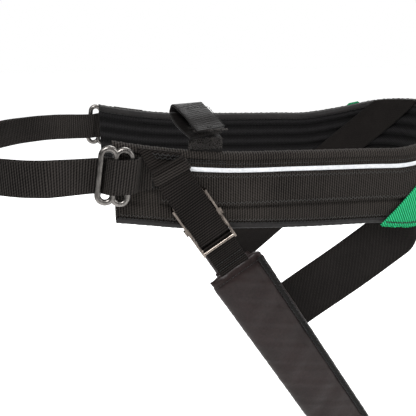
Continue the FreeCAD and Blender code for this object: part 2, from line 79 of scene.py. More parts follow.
FRONT_X = -148.0
CENTRE_X = 70.0
RADIUS = 110.0
THICK = 10.0
WEB_WIDTH = 25.4
WEB_THICK = 1.6
HIP_WIDTH = 50.0
SIDE_RUN = CENTRE_X - FRONT_X
BELT_RUN = 2 * SIDE_RUN + math.pi * RADIUS
TOP_EDGE = [(-152, 31), (-125, 25.8), (-100, 22), (-68, 18.8), (-10, 17), (50, 15.6), (85, 15),
            (125, 22), (160, 33), (190, 39)]
BOTTOM_EDGE = [(-152, -30), (-124, -34.6), (-100, -38.6), (-55, -42), (-5, -45), (50, -46.5),
               (90, -47), (125, -42), (160, -33), (190, -28)]
WEB_DROP = 15.2
PIPING_DROP = 11.4
PIPING_HEIGHT = 3.4
RING = Vector((-148.0, -116.0, 6.8))
RING_TILT = math.radians(9.0)
LEG = Vector((-73.8, -114.6, -48.5))
LEG_TILT = math.radians(57.5)
LEG_TOP_TILT = math.radians(63.5)
HINGE_Z = -2.0
BUCKLE_X = -262.0
STRAP_Z = 6.8


# ---------------------------------------------------------------- curves and frames

def edge_height(points, x):
    """A smooth height through a few (x, z) points."""
    xs = [p[0] for p in points]
    zs = [p[1] for p in points]
    slopes = np.gradient(zs, xs)
    i = int(np.clip(np.searchsorted(xs, x) - 1, 0, len(xs) - 2))
    step = xs[i + 1] - xs[i]
    t = min(max((x - xs[i]) / step, 0.0), 1.0)
    return ((2 * t**3 - 3 * t**2 + 1) * zs[i] + (t**3 - 2 * t**2 + t) * step * slopes[i]
            + (3 * t**2 - 2 * t**3) * zs[i + 1] + (t**3 - t**2) * step * slopes[i + 1])


def round_belt(q, offset=0.0):
    """Plan position, outward normal and direction at a distance q from the left front end."""
    if q <= SIDE_RUN:
        out = Vector((0, -1, 0))
        return Vector((FRONT_X + q, -RADIUS - offset, 0)), out, Vector((1, 0, 0))
    if q >= BELT_RUN - SIDE_RUN:
        out = Vector((0, 1, 0))
        return Vector((FRONT_X + BELT_RUN - q, RADIUS + offset, 0)), out, Vector((-1, 0, 0))
    angle = (q - SIDE_RUN) / RADIUS
    out = Vector((math.sin(angle), -math.cos(angle), 0))
    place = Vector((CENTRE_X, 0, 0)) + out * (RADIUS + offset)
    return place, out, Vector((math.cos(angle), math.sin(angle), 0))


def top_z(q):
    """Height of the belt's top edge at a distance along it."""
    return edge_height(TOP_EDGE, round_belt(q)[0].x)


def bottom_z(q):
    """Height of the belt's lower edge at a distance along it."""
    return edge_height(BOTTOM_EDGE, round_belt(q)[0].x)


def belt_frames(drop, offset, start=0.0, end=BELT_RUN, step=3.0):
    """Frames (centre, across, outward) along the belt at a depth below its top edge."""
    count = max(2, int((end - start) / step))
    frames = []
    for i in range(count + 1):
        q = start + (end - start) * i / count
        place, out, _ = round_belt(q, offset)
        frames.append((place + Vector((0, 0, top_z(q) - drop)), Vector((0, 0, 1)), out))
    return frames


def spline(points, step=2.5):
    """Points about a step apart on a smooth curve through a few points."""
    pts = [Vector(p) for p in points]
    ends = [pts[0] * 2 - pts[1]] + pts + [pts[-1] * 2 - pts[-2]]
    line = []
    for a, b, c, d in zip(ends, ends[1:], ends[2:], ends[3:]):
        count = max(1, int((c - b).length / step))
        for i in range(count):
            t = i / count
            line.append(0.5 * (2 * b + (c - a) * t + (2 * a - 5 * b + 4 * c - d) * t * t
                               + (3 * b - a - 3 * c + d) * t**3))
    line.append(pts[-1])
    return line


# ---------------------------------------------------------------- mesh makers

def put_in_scene(name, data):
    """A new object for a mesh, camera or light, linked to the scene."""
    obj = bpy.data.objects.new(name, data)
    bpy.context.scene.collection.objects.link(obj)
    return obj


def new_object(name, verts, faces, uvs=None):
    """A smooth-shaded piece from points in mm."""
    mesh = bpy.data.meshes.new(name)
    mesh.from_pydata([tuple(Vector(v) * MM) for v in verts], [], faces)
    if uvs is not None:
        layer = mesh.uv_layers.new(name="Weave")
        for loop in mesh.loops:
            layer.data[loop.index].uv = uvs[loop.vertex_index]
    mesh.polygons.foreach_set("use_smooth", [True] * len(mesh.polygons))
    mesh.update()
    return put_in_scene(name, mesh)


def skin(name, verts, uvs, count, closed=True, ring=False):
    """A mesh over rows of count points: closed joins each row's ends, ring joins last to first."""
    rows = len(verts) // count
    faces = []
    for i in range(rows if ring else rows - 1):
        a = i * count
        b = ((i + 1) % rows) * count
        for j in range(count if closed else count - 1):
            k = (j + 1) % count
            faces.append((a + j, a + k, b + k, b + j))
    if closed and not ring:
        faces.append(tuple(range(count))[::-1])
        faces.append(tuple((rows - 1) * count + j for j in range(count)))
    obj = new_object(name, verts, faces, uvs)
    tidy_normals(obj)
    return obj


def strap_section(width, thick, across=8):
    """Outline of flat webbing with thick round edges: (across, out) points."""
    half = width / 2
    edge = thick / 2
    outline = []
    for i in range(across + 1):
        outline.append((-half + edge + (width - 2 * edge) * i / across, edge))
    outline.append((half - edge * 0.3, edge * 0.75))
    outline.append((half, 0.0))
    outline.append((half - edge * 0.3, -edge * 0.75))
    for i in range(across + 1):
        outline.append((half - edge - (width - 2 * edge) * i / across, -edge))
    outline.append((-half + edge * 0.3, -edge * 0.75))
    outline.append((-half, 0.0))
    outline.append((-half + edge * 0.3, edge * 0.75))
    return outline


def sweep(name, frames, section, shape=None, ring=False):
    """Sweep an outline along frames; shape(along, across, out) may move each point."""
    verts = []
    uvs = []
    along = 0.0
    previous = frames[0][0]
    for centre, wide, out in frames:
        along += (centre - previous).length
        previous = centre
        for a, o in section:
            if shape:
                a, o = shape(along, a, o)
            verts.append(centre + wide * a + out * o)
            uvs.append((along, a))
    return skin(name, verts, uvs, len(section), ring=ring)


def tidy_normals(obj):
    """Turn every face outward."""
    bm = bmesh.new()
    bm.from_mesh(obj.data)
    bmesh.ops.recalc_face_normals(bm, faces=bm.faces)
    bm.to_mesh(obj.data)
    bm.free()


def resample(frames, step):
    """The same run of frames at even distances."""
    lengths = [0.0]
    for before, after in zip(frames, frames[1:]):
        lengths.append(lengths[-1] + (after[0] - before[0]).length)
    total = lengths[-1]
    count = max(2, round(total / step))
    made = []
    k = 0
    for i in range(count + 1):
        distance = total * i / count
        while k < len(frames) - 2 and lengths[k + 1] < distance:
            k += 1
        t = (distance - lengths[k]) / max(lengths[k + 1] - lengths[k], 1e-9)
        parts = [frames[k][n].lerp(frames[k + 1][n], t) for n in range(3)]
        made.append((parts[0], parts[1].normalized(), parts[2].normalized()))
    return made


def strap(name, frames, width=WEB_WIDTH, thick=WEB_THICK, rib=1.9, depth=0.1, wave=0.0):
    """Webbing along frames, with the ribs of its weft and a slight waver along its edges."""
    phase = rng.random() * 6.0
    if rib:
        frames = resample(frames, rib / 4)

    def shape(along, a, o):
        rise = depth * math.cos(2 * math.pi * along / rib) if rib else 0.0
        edge = 1.0 + wave * math.sin(along * 0.21 + phase) * 0.01
        face = 1.0 if o > 0 else -1.0
        return a * edge, o + face * rise * (0.0 if abs(o) < thick * 0.2 else 1.0)

    return sweep(name, frames, strap_section(width, thick), shape)


class Threads:
    """Sewn stitches, each a short plump thread end to end with the next."""

    def __init__(self, radius=0.34):
        self.verts = []
        self.faces = []
        self.radius = radius

    def stitch(self, a, b, out):
        """One stitch from a to b that stands on a surface with the normal out."""
        along = b - a
        side = along.cross(out).normalized() * self.radius
        rise = out.normalized() * self.radius
        base = len(self.verts)
        for t, wide in ((0.0, 0.35), (0.2, 1.0), (0.8, 1.0), (1.0, 0.35)):
            at = a + along * t
            lift = rise * (0.2 if t in (0.0, 1.0) else 0.9)
            for k in range(5):
                turn = 2 * math.pi * k / 5
                self.verts.append(at + lift + side * (wide * math.cos(turn))
                                  + rise * (wide * math.sin(turn)))
        for row in range(3):
            for k in range(5):
                n = (k + 1) % 5
                c = base + row * 5
                self.faces.append((c + k, c + n, c + 5 + n, c + 5 + k))
        self.faces.append(tuple(base + k for k in range(5))[::-1])
        self.faces.append(tuple(base + 15 + k for k in range(5)))

    def row(self, line, outs, pitch=3.1, gap=0.22, zigzag=0.0):
        """Stitches along a line of points with a normal at each."""
        lengths = [0.0]
        for a, b in zip(line, line[1:]):
            lengths.append(lengths[-1] + (b - a).length)
        total = lengths[-1]
        count = max(1, round(total / pitch))

        def at(distance):
            k = int(np.clip(np.searchsorted(lengths, distance) - 1, 0, len(line) - 2))
            run = max(lengths[k + 1] - lengths[k], 1e-6)
            t = (distance - lengths[k]) / run
            place = line[k].lerp(line[k + 1], t)
            out = outs[k].lerp(outs[k + 1], t).normalized()
            side = (line[k + 1] - line[k]).cross(out).normalized()
            return place, out, side

        for i in range(count):
            a, out_a, side_a = at(total * (i + gap / 2) / count)
            b, out_b, side_b = at(total * (i + 1 - gap / 2) / count)
            sway = zigzag if i % 2 else -zigzag
            self.stitch(a + side_a * sway, b - side_b * sway, (out_a + out_b) / 2)

    def finish(self, name, material, body, slot_name="webbing"):
        """One dressed piece from all the stitches."""
        return dress(new_object(name, self.verts, self.faces), material, body, slot_name)

    def finish_pair(self, name, material, body, slot_name):
        """Stitching on the wearer's left, and its mirror image on the right."""
        dress_pair(new_object("left_" + name, self.verts, self.faces), material, body, slot_name)


def dress(obj, material, body, slot_name, *replaced):
    """Give a piece its material and body, and hide the CAD nodes it stands for; its slot name is
    not used.
    """
    obj.data.materials.clear()
    obj.data.materials.append(material)
    if body:
        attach(obj, body)
    if replaced:
        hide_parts(*replaced)
    return obj


def mirror(obj, name):
    """A mirrored copy of a mesh on the wearer's right."""
    mesh = obj.data.copy()
    mesh.transform(Matrix.Scale(-1, 4, Vector((0, 1, 0))))
    mesh.flip_normals()
    return put_in_scene(name, mesh)


def dress_pair(left, material, body, slot_name, *nodes):
    """Dress a piece on the wearer's left and its mirror image; gives (side, piece, sign of y)."""
    right = mirror(left, left.name.replace("left_", "right_", 1))
    pair = (("left", left, -1), ("right", right, 1))
    for side, obj, _ in pair:
        on_body = body if body in (None, "belt") else f"{side}_{body}"
        dress(obj, material, on_body, slot_name, *(f"{side}_{node}" for node in nodes))
    return pair


# ---------------------------------------------------------------- materials

class Nodes:
    """A small helper for building a material's nodes."""

    def __init__(self, name):
        self.material = bpy.data.materials.new(name)
        self.material.use_nodes = True
        self.tree = self.material.node_tree
        self.shader = self.tree.nodes["Principled BSDF"]

    def add(self, kind, **values):
        node = self.tree.nodes.new(kind)
        for key, value in values.items():
            if key in node.inputs:
                node.inputs[key].default_value = value
            else:
                setattr(node, key, value)
        return node

    def link(self, out, into):
        self.tree.links.new(out, into)
        return into

    def maths(self, operation, a, b=None):
        node = self.add("ShaderNodeMath", operation=operation)
        for socket, value in zip(node.inputs, (a, b)):
            if value is None:
                continue
            if isinstance(value, (int, float)):
                socket.default_value = value
            else:
                self.link(value, socket)
        return node.outputs[0]

    def uv(self):
        node = self.add("ShaderNodeUVMap", uv_map="Weave")
        parts = self.add("ShaderNodeSeparateXYZ")
        self.link(node.outputs[0], parts.inputs[0])
        return parts.outputs[0], parts.outputs[1]

    def noise(self, scale, detail=3.0, roughness=0.55):
        coords = self.add("ShaderNodeTexCoord")
        node = self.add("ShaderNodeTexNoise", Scale=scale, Detail=detail, Roughness=roughness)
        self.link(coords.outputs["Object"], node.inputs["Vector"])
        return node.outputs["Fac"]

    def ramp(self, fac, *stops):
        node = self.add("ShaderNodeValToRGB")
        ramp = node.color_ramp
        while len(ramp.elements) < len(stops):
            ramp.elements.new(0.5)
        for element, (place, colour) in zip(ramp.elements, stops):
            element.position = place
            element.color = (*colour, 1.0)
        self.link(fac, node.inputs["Fac"])
        return node.outputs["Color"]

    def total(self, *parts):
        """The weighted sum of some values."""
        whole, *rest = [self.maths("MULTIPLY", value, share) for value, share in parts]
        for part in rest:
            whole = self.maths("ADD", whole, part)
        return whole

    def roughness(self, fac, low, high):
        """Roughness that runs from low to high with a value."""
        node = self.add("ShaderNodeMapRange")
        node.inputs["To Min"].default_value = low
        node.inputs["To Max"].default_value = high
        self.link(fac, node.inputs["Value"])
        self.link(node.outputs[0], self.shader.inputs["Roughness"])

    def finish(self, colour, normal, **values):
        """Link the colour and normal, set the other inputs, and give the material."""
        self.link(colour, self.shader.inputs["Base Color"])
        self.link(normal, self.shader.inputs["Normal"])
        for key, value in values.items():
            self.shader.inputs[key.replace("_", " ")].default_value = value
        return self.material

    def bump(self, height, distance, strength=1.0, normal=None):
        node = self.add("ShaderNodeBump", Strength=strength, Distance=distance * MM)
        self.link(height, node.inputs["Height"])
        if normal:
            self.link(normal, node.inputs["Normal"])
        return node.outputs["Normal"]


def half_wave(nodes, value, pitch, shift=0.0):
    """A 0 to 1 wave of one coordinate."""
    angle = nodes.maths("MULTIPLY", value, 2 * math.pi / pitch)
    if shift:
        angle = nodes.maths("ADD", angle, shift)
    node = nodes.add("ShaderNodeMath", operation="MULTIPLY_ADD")
    nodes.link(nodes.maths("SINE", angle), node.inputs[0])
    node.inputs[1].default_value = 0.5
    node.inputs[2].default_value = 0.5
    return node.outputs[0]


def woven(name, dark, light, rib=1.9, thread=1.05, depth=0.32, sheen=0.015, rough=0.82,
          diagonal=0.0, turned=False):
    """Webbing: ribs across the strap, crossed by warp threads that hop over them; the weave's low
    places are darkened in colour as painted shade.
    """
    n = Nodes(name)
    along, across = n.uv()
    if turned:
        along, across = across, along
    if diagonal:
        along = n.maths("ADD", along, n.maths("MULTIPLY", across, diagonal))
    ribs = half_wave(n, along, rib)
    warp = half_wave(n, across, thread)
    hop = half_wave(n, n.maths("ADD", along, n.maths("MULTIPLY", across, rib / thread)), 2 * rib)
    height = n.total((ribs, 0.6), (warp, 0.2), (hop, 0.2))
    fuzz = n.noise(900.0, 4.0, 0.7)
    # Painted shade: the weave's height also sets its colour, so rib valleys come out darker as if
    # in shade; the fuzz and broad noise are the cloth's own tone.
    tone = n.total((height, 0.55), (fuzz, 0.3), (n.noise(22.0, 3.0), 0.25))
    n.roughness(height, rough + 0.1, rough - 0.14)
    return n.finish(n.ramp(tone, (0.36, dark), (0.8, light)),
                    n.bump(height, depth, 1.0, n.bump(fuzz, 0.12, 0.5)),
                    Sheen_Weight=sheen, Sheen_Roughness=0.45, Specular_IOR_Level=0.05)


def soft_fabric(name, dark, light, grain=420.0, depth=0.14, sheen=0.3, rough=0.75, fold=0.0,
                gloss=0.25):
    """Plain fabric: a fine grain that is also lighter in colour where it stands higher, and broad
    tone changes.
    """
    n = Nodes(name)
    fine = n.noise(grain, 4.0, 0.6)
    tone = n.total((fine, 0.55), (n.noise(30.0, 3.0), 0.45))
    n.roughness(fine, rough - 0.1, rough + 0.1)
    normal = n.bump(fine, depth, 0.8)
    if fold:
        normal = n.bump(n.noise(90.0, 2.0), fold, 0.8, normal)
    return n.finish(n.ramp(tone, (0.3, dark), (0.72, light)), normal,
                    Sheen_Weight=sheen, Sheen_Roughness=0.35, Specular_IOR_Level=gloss)


# UV pitch of one lining channel; the lining material uses it to paint shade into each channel's
# groove.
CHANNEL_MARK = 10.0


def mesh_lining(name, dark, light):
    """Spacer mesh: rows of small open cells, with painted shade darkening the grooves between the
    quilted channels.
    """
    n = Nodes(name)
    along, across = n.uv()
    cells = n.maths("MULTIPLY", half_wave(n, along, 1.7),
                    half_wave(n, n.maths("ADD", across, n.maths("MULTIPLY", along, 0.5)), 1.7))
    # Painted shade: this wave is highest in each groove between channels and darkens the colour
    # there.
    channel = half_wave(n, across, CHANNEL_MARK, math.pi * 0.5)
    tone = n.total((cells, 0.5), (n.noise(700.0, 3.0), 0.4), (channel, -0.45))
    return n.finish(n.ramp(tone, (0.0, dark), (0.75, light)), n.bump(cells, 0.25, 0.9),
                    Roughness=0.7, Specular_IOR_Level=0.06, Sheen_Weight=0.03)


def metal(name, dark, light, rough):
    """Burnished steel with fine scratches and darker hollows."""
    grain = 260.0
    n = Nodes(name)
    coords = n.add("ShaderNodeTexCoord")
    stretch = n.add("ShaderNodeMapping")
    stretch.inputs["Scale"].default_value = (1.0, 1.0, 0.12)
    n.link(coords.outputs["Object"], stretch.inputs["Vector"])
    lines = n.add("ShaderNodeTexNoise", Scale=grain * 4, Detail=4.0)
    n.link(stretch.outputs[0], lines.inputs["Vector"])
    tone = n.total((lines.outputs["Fac"], 0.4), (n.noise(grain * 0.35, 4.0), 0.6))
    n.roughness(tone, rough - 0.08, rough + 0.175)
    return n.finish(n.ramp(tone, (0.35, dark), (0.62, light)),
                    n.bump(lines.outputs["Fac"], 0.05, 0.35), Metallic=1.0)


def pile(name, dark, light):
    """The looped pile of hook-and-loop tape."""
    n = Nodes(name)
    coords = n.add("ShaderNodeTexCoord")
    cells = n.add("ShaderNodeTexVoronoi", Scale=1100.0)
    n.link(coords.outputs["Object"], cells.inputs["Vector"])
    fuzz = n.noise(1300.0, 5.0, 0.8)
    height = n.total((cells.outputs["Distance"], 0.7), (fuzz, 1.0))
    return n.finish(n.ramp(height, (0.45, dark), (1.15, light)), n.bump(height, 0.5, 1.0),
                    Roughness=0.95, Specular_IOR_Level=0.15, Sheen_Weight=0.04,
                    Sheen_Roughness=0.6)


webbing_black = woven("webbing_black", (0.0006, 0.0005, 0.0005), (0.034, 0.0295, 0.0265))
strap_webbing = woven("strap_webbing", (0.0004, 0.0004, 0.0004), (0.017, 0.0142, 0.0128))
belt_cloth = woven("belt_cloth", (0.0006, 0.0005, 0.0005), (0.034, 0.0295, 0.0262), rib=1.95,
                   thread=0.9, depth=0.3)
hip_webbing = woven("hip_webbing", (0.0003, 0.0003, 0.0003), (0.0175, 0.0152, 0.014), rib=1.5,
                    thread=1.2, depth=0.25, diagonal=0.5)
front_webbing = woven("front_webbing", (0.0005, 0.0005, 0.0005), (0.028, 0.0245, 0.0225))
keeper_web = woven("keeper_web", (0.0006, 0.0005, 0.0005), (0.024, 0.0205, 0.0185), turned=True)
green_webbing = woven("green_webbing", (0.0, 0.055, 0.018), (0.03, 0.44, 0.185), rib=2.0,
                      thread=1.2, depth=0.3, diagonal=0.35)
binding_cloth = soft_fabric("binding_cloth", (0.002, 0.0018, 0.0018), (0.012, 0.0105, 0.0103),
                            sheen=0.03, rough=0.6, gloss=0.18, fold=0.6)
sleeve_cloth = soft_fabric("sleeve_cloth", (0.0055, 0.0036, 0.0034), (0.0178, 0.0112, 0.0107),
                           grain=650.0, sheen=0.03, rough=0.36, fold=0.6, gloss=0.14)
lining_mesh = mesh_lining("lining_mesh", (0.0005, 0.0005, 0.0005), (0.016, 0.0152, 0.016))
# Grey thread: dark thread painted a lighter grey to stand in for its highlights, a painted
# highlight.
thread_grey_painted_highlight = soft_fabric("thread_grey_painted_highlight", (0.01, 0.0095, 0.009), (0.045, 0.042, 0.039),
                          grain=1500.0, sheen=0.06, rough=0.5)
thread_dark = soft_fabric("thread_dark", (0.001, 0.001, 0.001), (0.007, 0.0068, 0.0066),
                          grain=1500.0, sheen=0.1, rough=0.55)
piping_white = soft_fabric("piping_white", (0.36, 0.37, 0.385), (0.6, 0.61, 0.63), grain=500.0,
                           depth=0.06, sheen=0.0, rough=0.45)
hook_cloth = soft_fabric("hook_cloth", (0.0006, 0.0005, 0.0005), (0.0065, 0.0056, 0.0052),
                         grain=900.0, depth=0.3, sheen=0.01, rough=0.5, gloss=0.1)
loop_pile = pile("loop_pile", (0.0006, 0.0006, 0.0006), (0.055, 0.05, 0.047))
green_pile = pile("green_pile", (0.0, 0.12, 0.035), (0.01, 0.5, 0.18))
dark_steel = metal("dark_steel", (0.035, 0.033, 0.031), (0.19, 0.178, 0.168), 0.26)
bright_steel = metal("bright_steel", (0.03, 0.025, 0.022), (0.2, 0.172, 0.15), 0.2)


# ---------------------------------------------------------------- camera, light and floor

CAMERA = Vector((-170.0, -497.3, 103.3))
LOOK = Vector((0.216, 0.928, -0.302)).normalized()
FOCAL = 48.2


def make_world():
    """White behind the object; a dim surround with a bright ceiling for light and reflections."""
    world = bpy.data.worlds.new("studio")
    world.use_nodes = True
    tree = world.node_tree
    plain = tree.nodes["Background"]
    plain.inputs["Color"].default_value = (1.0, 1.0, 1.0, 1.0)
    plain.inputs["Strength"].default_value = 1.0
    graded = tree.nodes.new("ShaderNodeBackground")
    coords = tree.nodes.new("ShaderNodeTexCoord")
    parts = tree.nodes.new("ShaderNodeSeparateXYZ")
    ramp = tree.nodes.new("ShaderNodeValToRGB")
    for element, (place, value) in zip(ramp.color_ramp.elements, ((0.1, 0.16), (0.8, 0.8))):
        element.position = place
        element.color = (value, value, value, 1.0)
    path = tree.nodes.new("ShaderNodeLightPath")
    mix = tree.nodes.new("ShaderNodeMixShader")
    for out, into in ((coords.outputs["Generated"], parts.inputs[0]),
                      (parts.outputs["Z"], ramp.inputs["Fac"]),
                      (ramp.outputs["Color"], graded.inputs["Color"]),
                      (path.outputs["Is Camera Ray"], mix.inputs["Fac"]),
                      (graded.outputs[0], mix.inputs[1]), (plain.outputs[0], mix.inputs[2]),
                      (mix.outputs[0], tree.nodes["World Output"].inputs["Surface"])):
        tree.links.new(out, into)
    bpy.context.scene.world = world
    bpy.context.scene.view_settings.view_transform = "Standard"


def make_stage():
    """The camera, a pale floor well below the object, and three soft lights."""
    camera = put_in_scene("camera", bpy.data.cameras.new("camera"))
    camera.data.lens = FOCAL
    camera.data.sensor_width = 36.0
    camera.data.clip_start = 0.01
    camera.location = CAMERA * MM
    camera.rotation_euler = LOOK.to_track_quat("-Z", "Y").to_euler()
    bpy.context.scene.camera = camera

    floor_mesh = bpy.data.meshes.new("floor")
    size = 6.0
    low = cad_box[0][2] - 0.045
    floor_mesh.from_pydata([(-size, -size, low), (size, -size, low), (size, size, low),
                            (-size, size, low)], [], [(0, 1, 2, 3)])
    floor = put_in_scene("floor", floor_mesh)
    pale = bpy.data.materials.new("pale_floor")
    pale.use_nodes = True
    for key, value in (("Base Color", (0.9, 0.9, 0.9, 1)), ("Roughness", 0.9),
                       ("Emission Color", (1, 1, 1, 1)), ("Emission Strength", 0.45)):
        pale.node_tree.nodes["Principled BSDF"].inputs[key].default_value = value
    floor.data.materials.append(pale)

    make_world()
    for name, place, energy, width in (("key", (-0.6, -0.8, 1.0), 22.0, 0.6),
                                       ("fill", (0.9, -0.7, 0.5), 9.0, 0.8),
                                       ("rim", (0.3, 0.9, 1.0), 16.0, 0.8)):
        light = bpy.data.lights.new(name, "AREA")
        light.energy = energy
        light.size = width
        obj = put_in_scene(name, light)
        obj.location = place
        obj.rotation_euler = (-Vector(place)).to_track_quat("-Z", "Y").to_euler()


make_stage()


# ---------------------------------------------------------------- waist pad

def ease(t):
    """0 to 1 with a soft start and end."""
    t = min(max(t, 0.0), 1.0)
    return t * t * (3 - 2 * t)


def waver(x, seeds, pitch):
    """Uneven puckers, from 0 to 1, that repeat at about one pitch."""
    a, b, c = seeds
    return 0.5 + 0.5 * (0.5 * math.sin(2 * math.pi * x / pitch + a)
                        + 0.3 * math.sin(2 * math.pi * x / (pitch * 0.62) + b)
                        + 0.2 * math.sin(2 * math.pi * x / (pitch * 2.7) + c))


def seeds():
    """Three random phases for waver."""
    return tuple(rng.random() * 6.28 for _ in range(3))


def bump_at(x, place, wide):
    """A smooth groove of one width at one place."""
    return math.exp(-((x - place) / wide) ** 2)


def belt_grid(name, profile, count, step, closed=True, mark=None):
    """A mesh along the belt from profile(q, t) to (depth below the top edge, offset)."""
    rows = round(BELT_RUN / step)
    verts = []
    uvs = []
    for i in range(rows + 1):
        q = BELT_RUN * i / rows
        zt = top_z(q)
        height = zt - bottom_z(q)
        for j in range(count):
            drop, offset = profile(q, j / (count if closed else count - 1), height)
            place, out, _ = round_belt(q, offset)
            verts.append(place + Vector((0, 0, zt - drop)))
            t = j / (count if closed else count - 1)
            uvs.append((q, mark(t) if mark else drop + (0.0 if offset > -5 else 100.0)))
    return skin(name, verts, uvs, count, closed)


SEAM_DROP = 42.4
BIND = 5.6
pad_seeds = [seeds() for _ in range(6)]


def face_offset(q, drop, height):
    """How far the outer face stands from its plain surface."""
    seam = -1.3 * bump_at(drop, SEAM_DROP, 0.75)
    top_stitch = -0.25 * bump_at(drop, BIND, 0.6)
    low_stitch = -0.8 * bump_at(drop, height - BIND, 0.9)
    low_band = math.sin(math.pi * min(max((drop - SEAM_DROP) / (height - BIND - SEAM_DROP), 0), 1))
    pucker = waver(q, pad_seeds[0], 5.2) - 0.5
    return (0.75 * low_band * (1 + 0.35 * pucker) + seam + top_stitch + low_stitch
            - 0.35 + 0.25 * pucker * (bump_at(drop, height - BIND, 3.0)
                                      + bump_at(drop, SEAM_DROP, 2.0)))


def pad_profile(q, t, height):
    """Once round the pad: down its outer face and up behind its lining."""
    low = height - 2.4
    if t < 0.66:
        drop = 2.4 + (low - 2.4) * t / 0.66
        return drop, face_offset(q, drop, height)
    drop = low - (low - 2.4) * (t - 0.68) / 0.32
    return drop, -5.6


LINING_PLAIN = 42.0
CHANNELS = 5


def lining_profile(q, t, height):
    """The quilted lining: channels along the belt with fine puckers across them."""
    low = height - 3.4
    if t >= 0.7:
        drop = low - (low - 3.4) * (t - 0.7) / 0.3
        return drop, -5.9
    share = min(t / 0.69, 1.0)
    drop = 3.4 + (low - 3.4) * share
    channel = abs(math.sin(math.pi * CHANNELS * share)) ** 0.5
    ends = min(q, BELT_RUN - q)
    quilted = ease((ends - LINING_PLAIN) / 4.0)
    crease = -0.5 * bump_at(ends, LINING_PLAIN - 1.0, 1.2)
    pucker = waver(q + 1.1 * drop, pad_seeds[1], 4.2)
    wrinkle = (waver(q * 0.8 - drop, pad_seeds[4], 15.0) - 0.5) * 0.9 * (1 - quilted)
    deep = 1.0 - channel
    depth = channel * (3.1 - 0.7 * pucker) - 0.3 * deep * pucker
    plain = 2.4 - 0.9 * bump_at(share, 0.12, 0.03) - 0.9 * bump_at(share, 0.5, 0.03)
    return drop, -6.8 - (quilted * depth + (1 - quilted) * (plain + wrinkle * 0.5)) - crease


def roll_profile(outer_reach, inner_reach, which, seed):
    """A binding folded over one edge, from its stitched outer lip round to its inner lip."""

    def profile(q, t, height):
        pucker = waver(q, seed, 6.0) - 0.5
        half = 5.2 + 0.35 * pucker
        if t < 0.25:
            depth = outer_reach * (1 - t / 0.25) + 3.2 * (t / 0.25)
            offset = 0.3 + 0.35 * math.sin(math.pi * t / 0.25) * (1 + pucker)
        elif t > 0.75:
            depth = 3.2 + (inner_reach - 3.2) * (t - 0.75) / 0.25
            offset = -10.3 - 0.3 * math.sin(math.pi * (t - 0.75) / 0.25) * (1 + pucker)
        else:
            turn = math.pi * (t - 0.25) / 0.5
            depth = 3.2 - (3.2 + 0.7 * pucker * (1.0 if turn > 1.2 else 0.3)) * math.sin(turn)
            offset = -5.0 + half * math.cos(turn)
        return (depth if which == "top" else height - depth), offset

    return profile


pad = belt_grid("belt_pad", pad_profile, 66, 1.3)
dress(pad, belt_cloth, "belt", "belt_fabric", "belt_outer_shell", "belt_foam_core")
# The lining's UV across it counts CHANNEL_MARK per channel, so that its material paints shade into
# each groove.
lining = belt_grid("belt_lining", lining_profile, 96, 1.1,
                   mark=lambda t: CHANNEL_MARK * CHANNELS * min(t / 0.69, 1.0))
dress(lining, lining_mesh, "belt", "lining_mesh", "belt_inner_lining")


def thicken(obj, thick):
    """Turn an open skin into cloth of one thickness, in place."""
    bm = bmesh.new()
    bm.from_mesh(obj.data)
    bmesh.ops.recalc_face_normals(bm, faces=bm.faces)
    bmesh.ops.solidify(bm, geom=list(bm.faces), thickness=thick * MM)
    bmesh.ops.recalc_face_normals(bm, faces=bm.faces)
    bm.to_mesh(obj.data)
    bm.free()
    obj.data.polygons.foreach_set("use_smooth", [True] * len(obj.data.polygons))


for label, which, seed in (("belt_top_binding", "top", pad_seeds[2]),
                           ("belt_bottom_binding", "bottom", pad_seeds[3])):
    roll = belt_grid(label + "_roll", roll_profile(5.6, 6.4, which, seed), 25, 1.1, closed=False)
    thicken(roll, 0.6)
    dress(roll, binding_cloth, "belt", "binding_fabric", label)
    if which == "top":
        roll.data.materials.append(belt_cloth)
        for face in roll.data.polygons:
            place = face.center / MM
            side = abs(place.y) if place.x < CENTRE_X else math.hypot(place.x - CENTRE_X, place.y)
            face.material_index = 1 if side > RADIUS - 7.5 else 0

web_frames = belt_frames(WEB_DROP + WEB_WIDTH / 2, 0.05 + WEB_THICK / 2, 31.0, BELT_RUN - 31.0)
dress(strap("waist_webbing_strap", web_frames), webbing_black, "belt", "webbing", "waist_webbing")
pipe_frames = belt_frames(PIPING_DROP + PIPING_HEIGHT / 2, 0.7, 31.0, BELT_RUN - 31.0)
dress(strap("reflective_piping_strip", pipe_frames, PIPING_HEIGHT, 1.5, rib=0),
      piping_white, "belt", "reflective", "reflective_piping")


def belt_row(threads, drop, offset, start=0.0, end=BELT_RUN, **how):
    """A row of stitches along the belt; drop may be a function of the height there."""
    line = []
    outs = []
    count = round((end - start) / 2.0)
    for i in range(count + 1):
        q = start + (end - start) * i / count
        height = top_z(q) - bottom_z(q)
        deep = drop(height) if callable(drop) else drop
        place, out, _ = round_belt(q, offset)
        line.append(place + Vector((0, 0, top_z(q) - deep)))
        outs.append(out if offset > -5 else -out)
    threads.row(line, outs, **how)


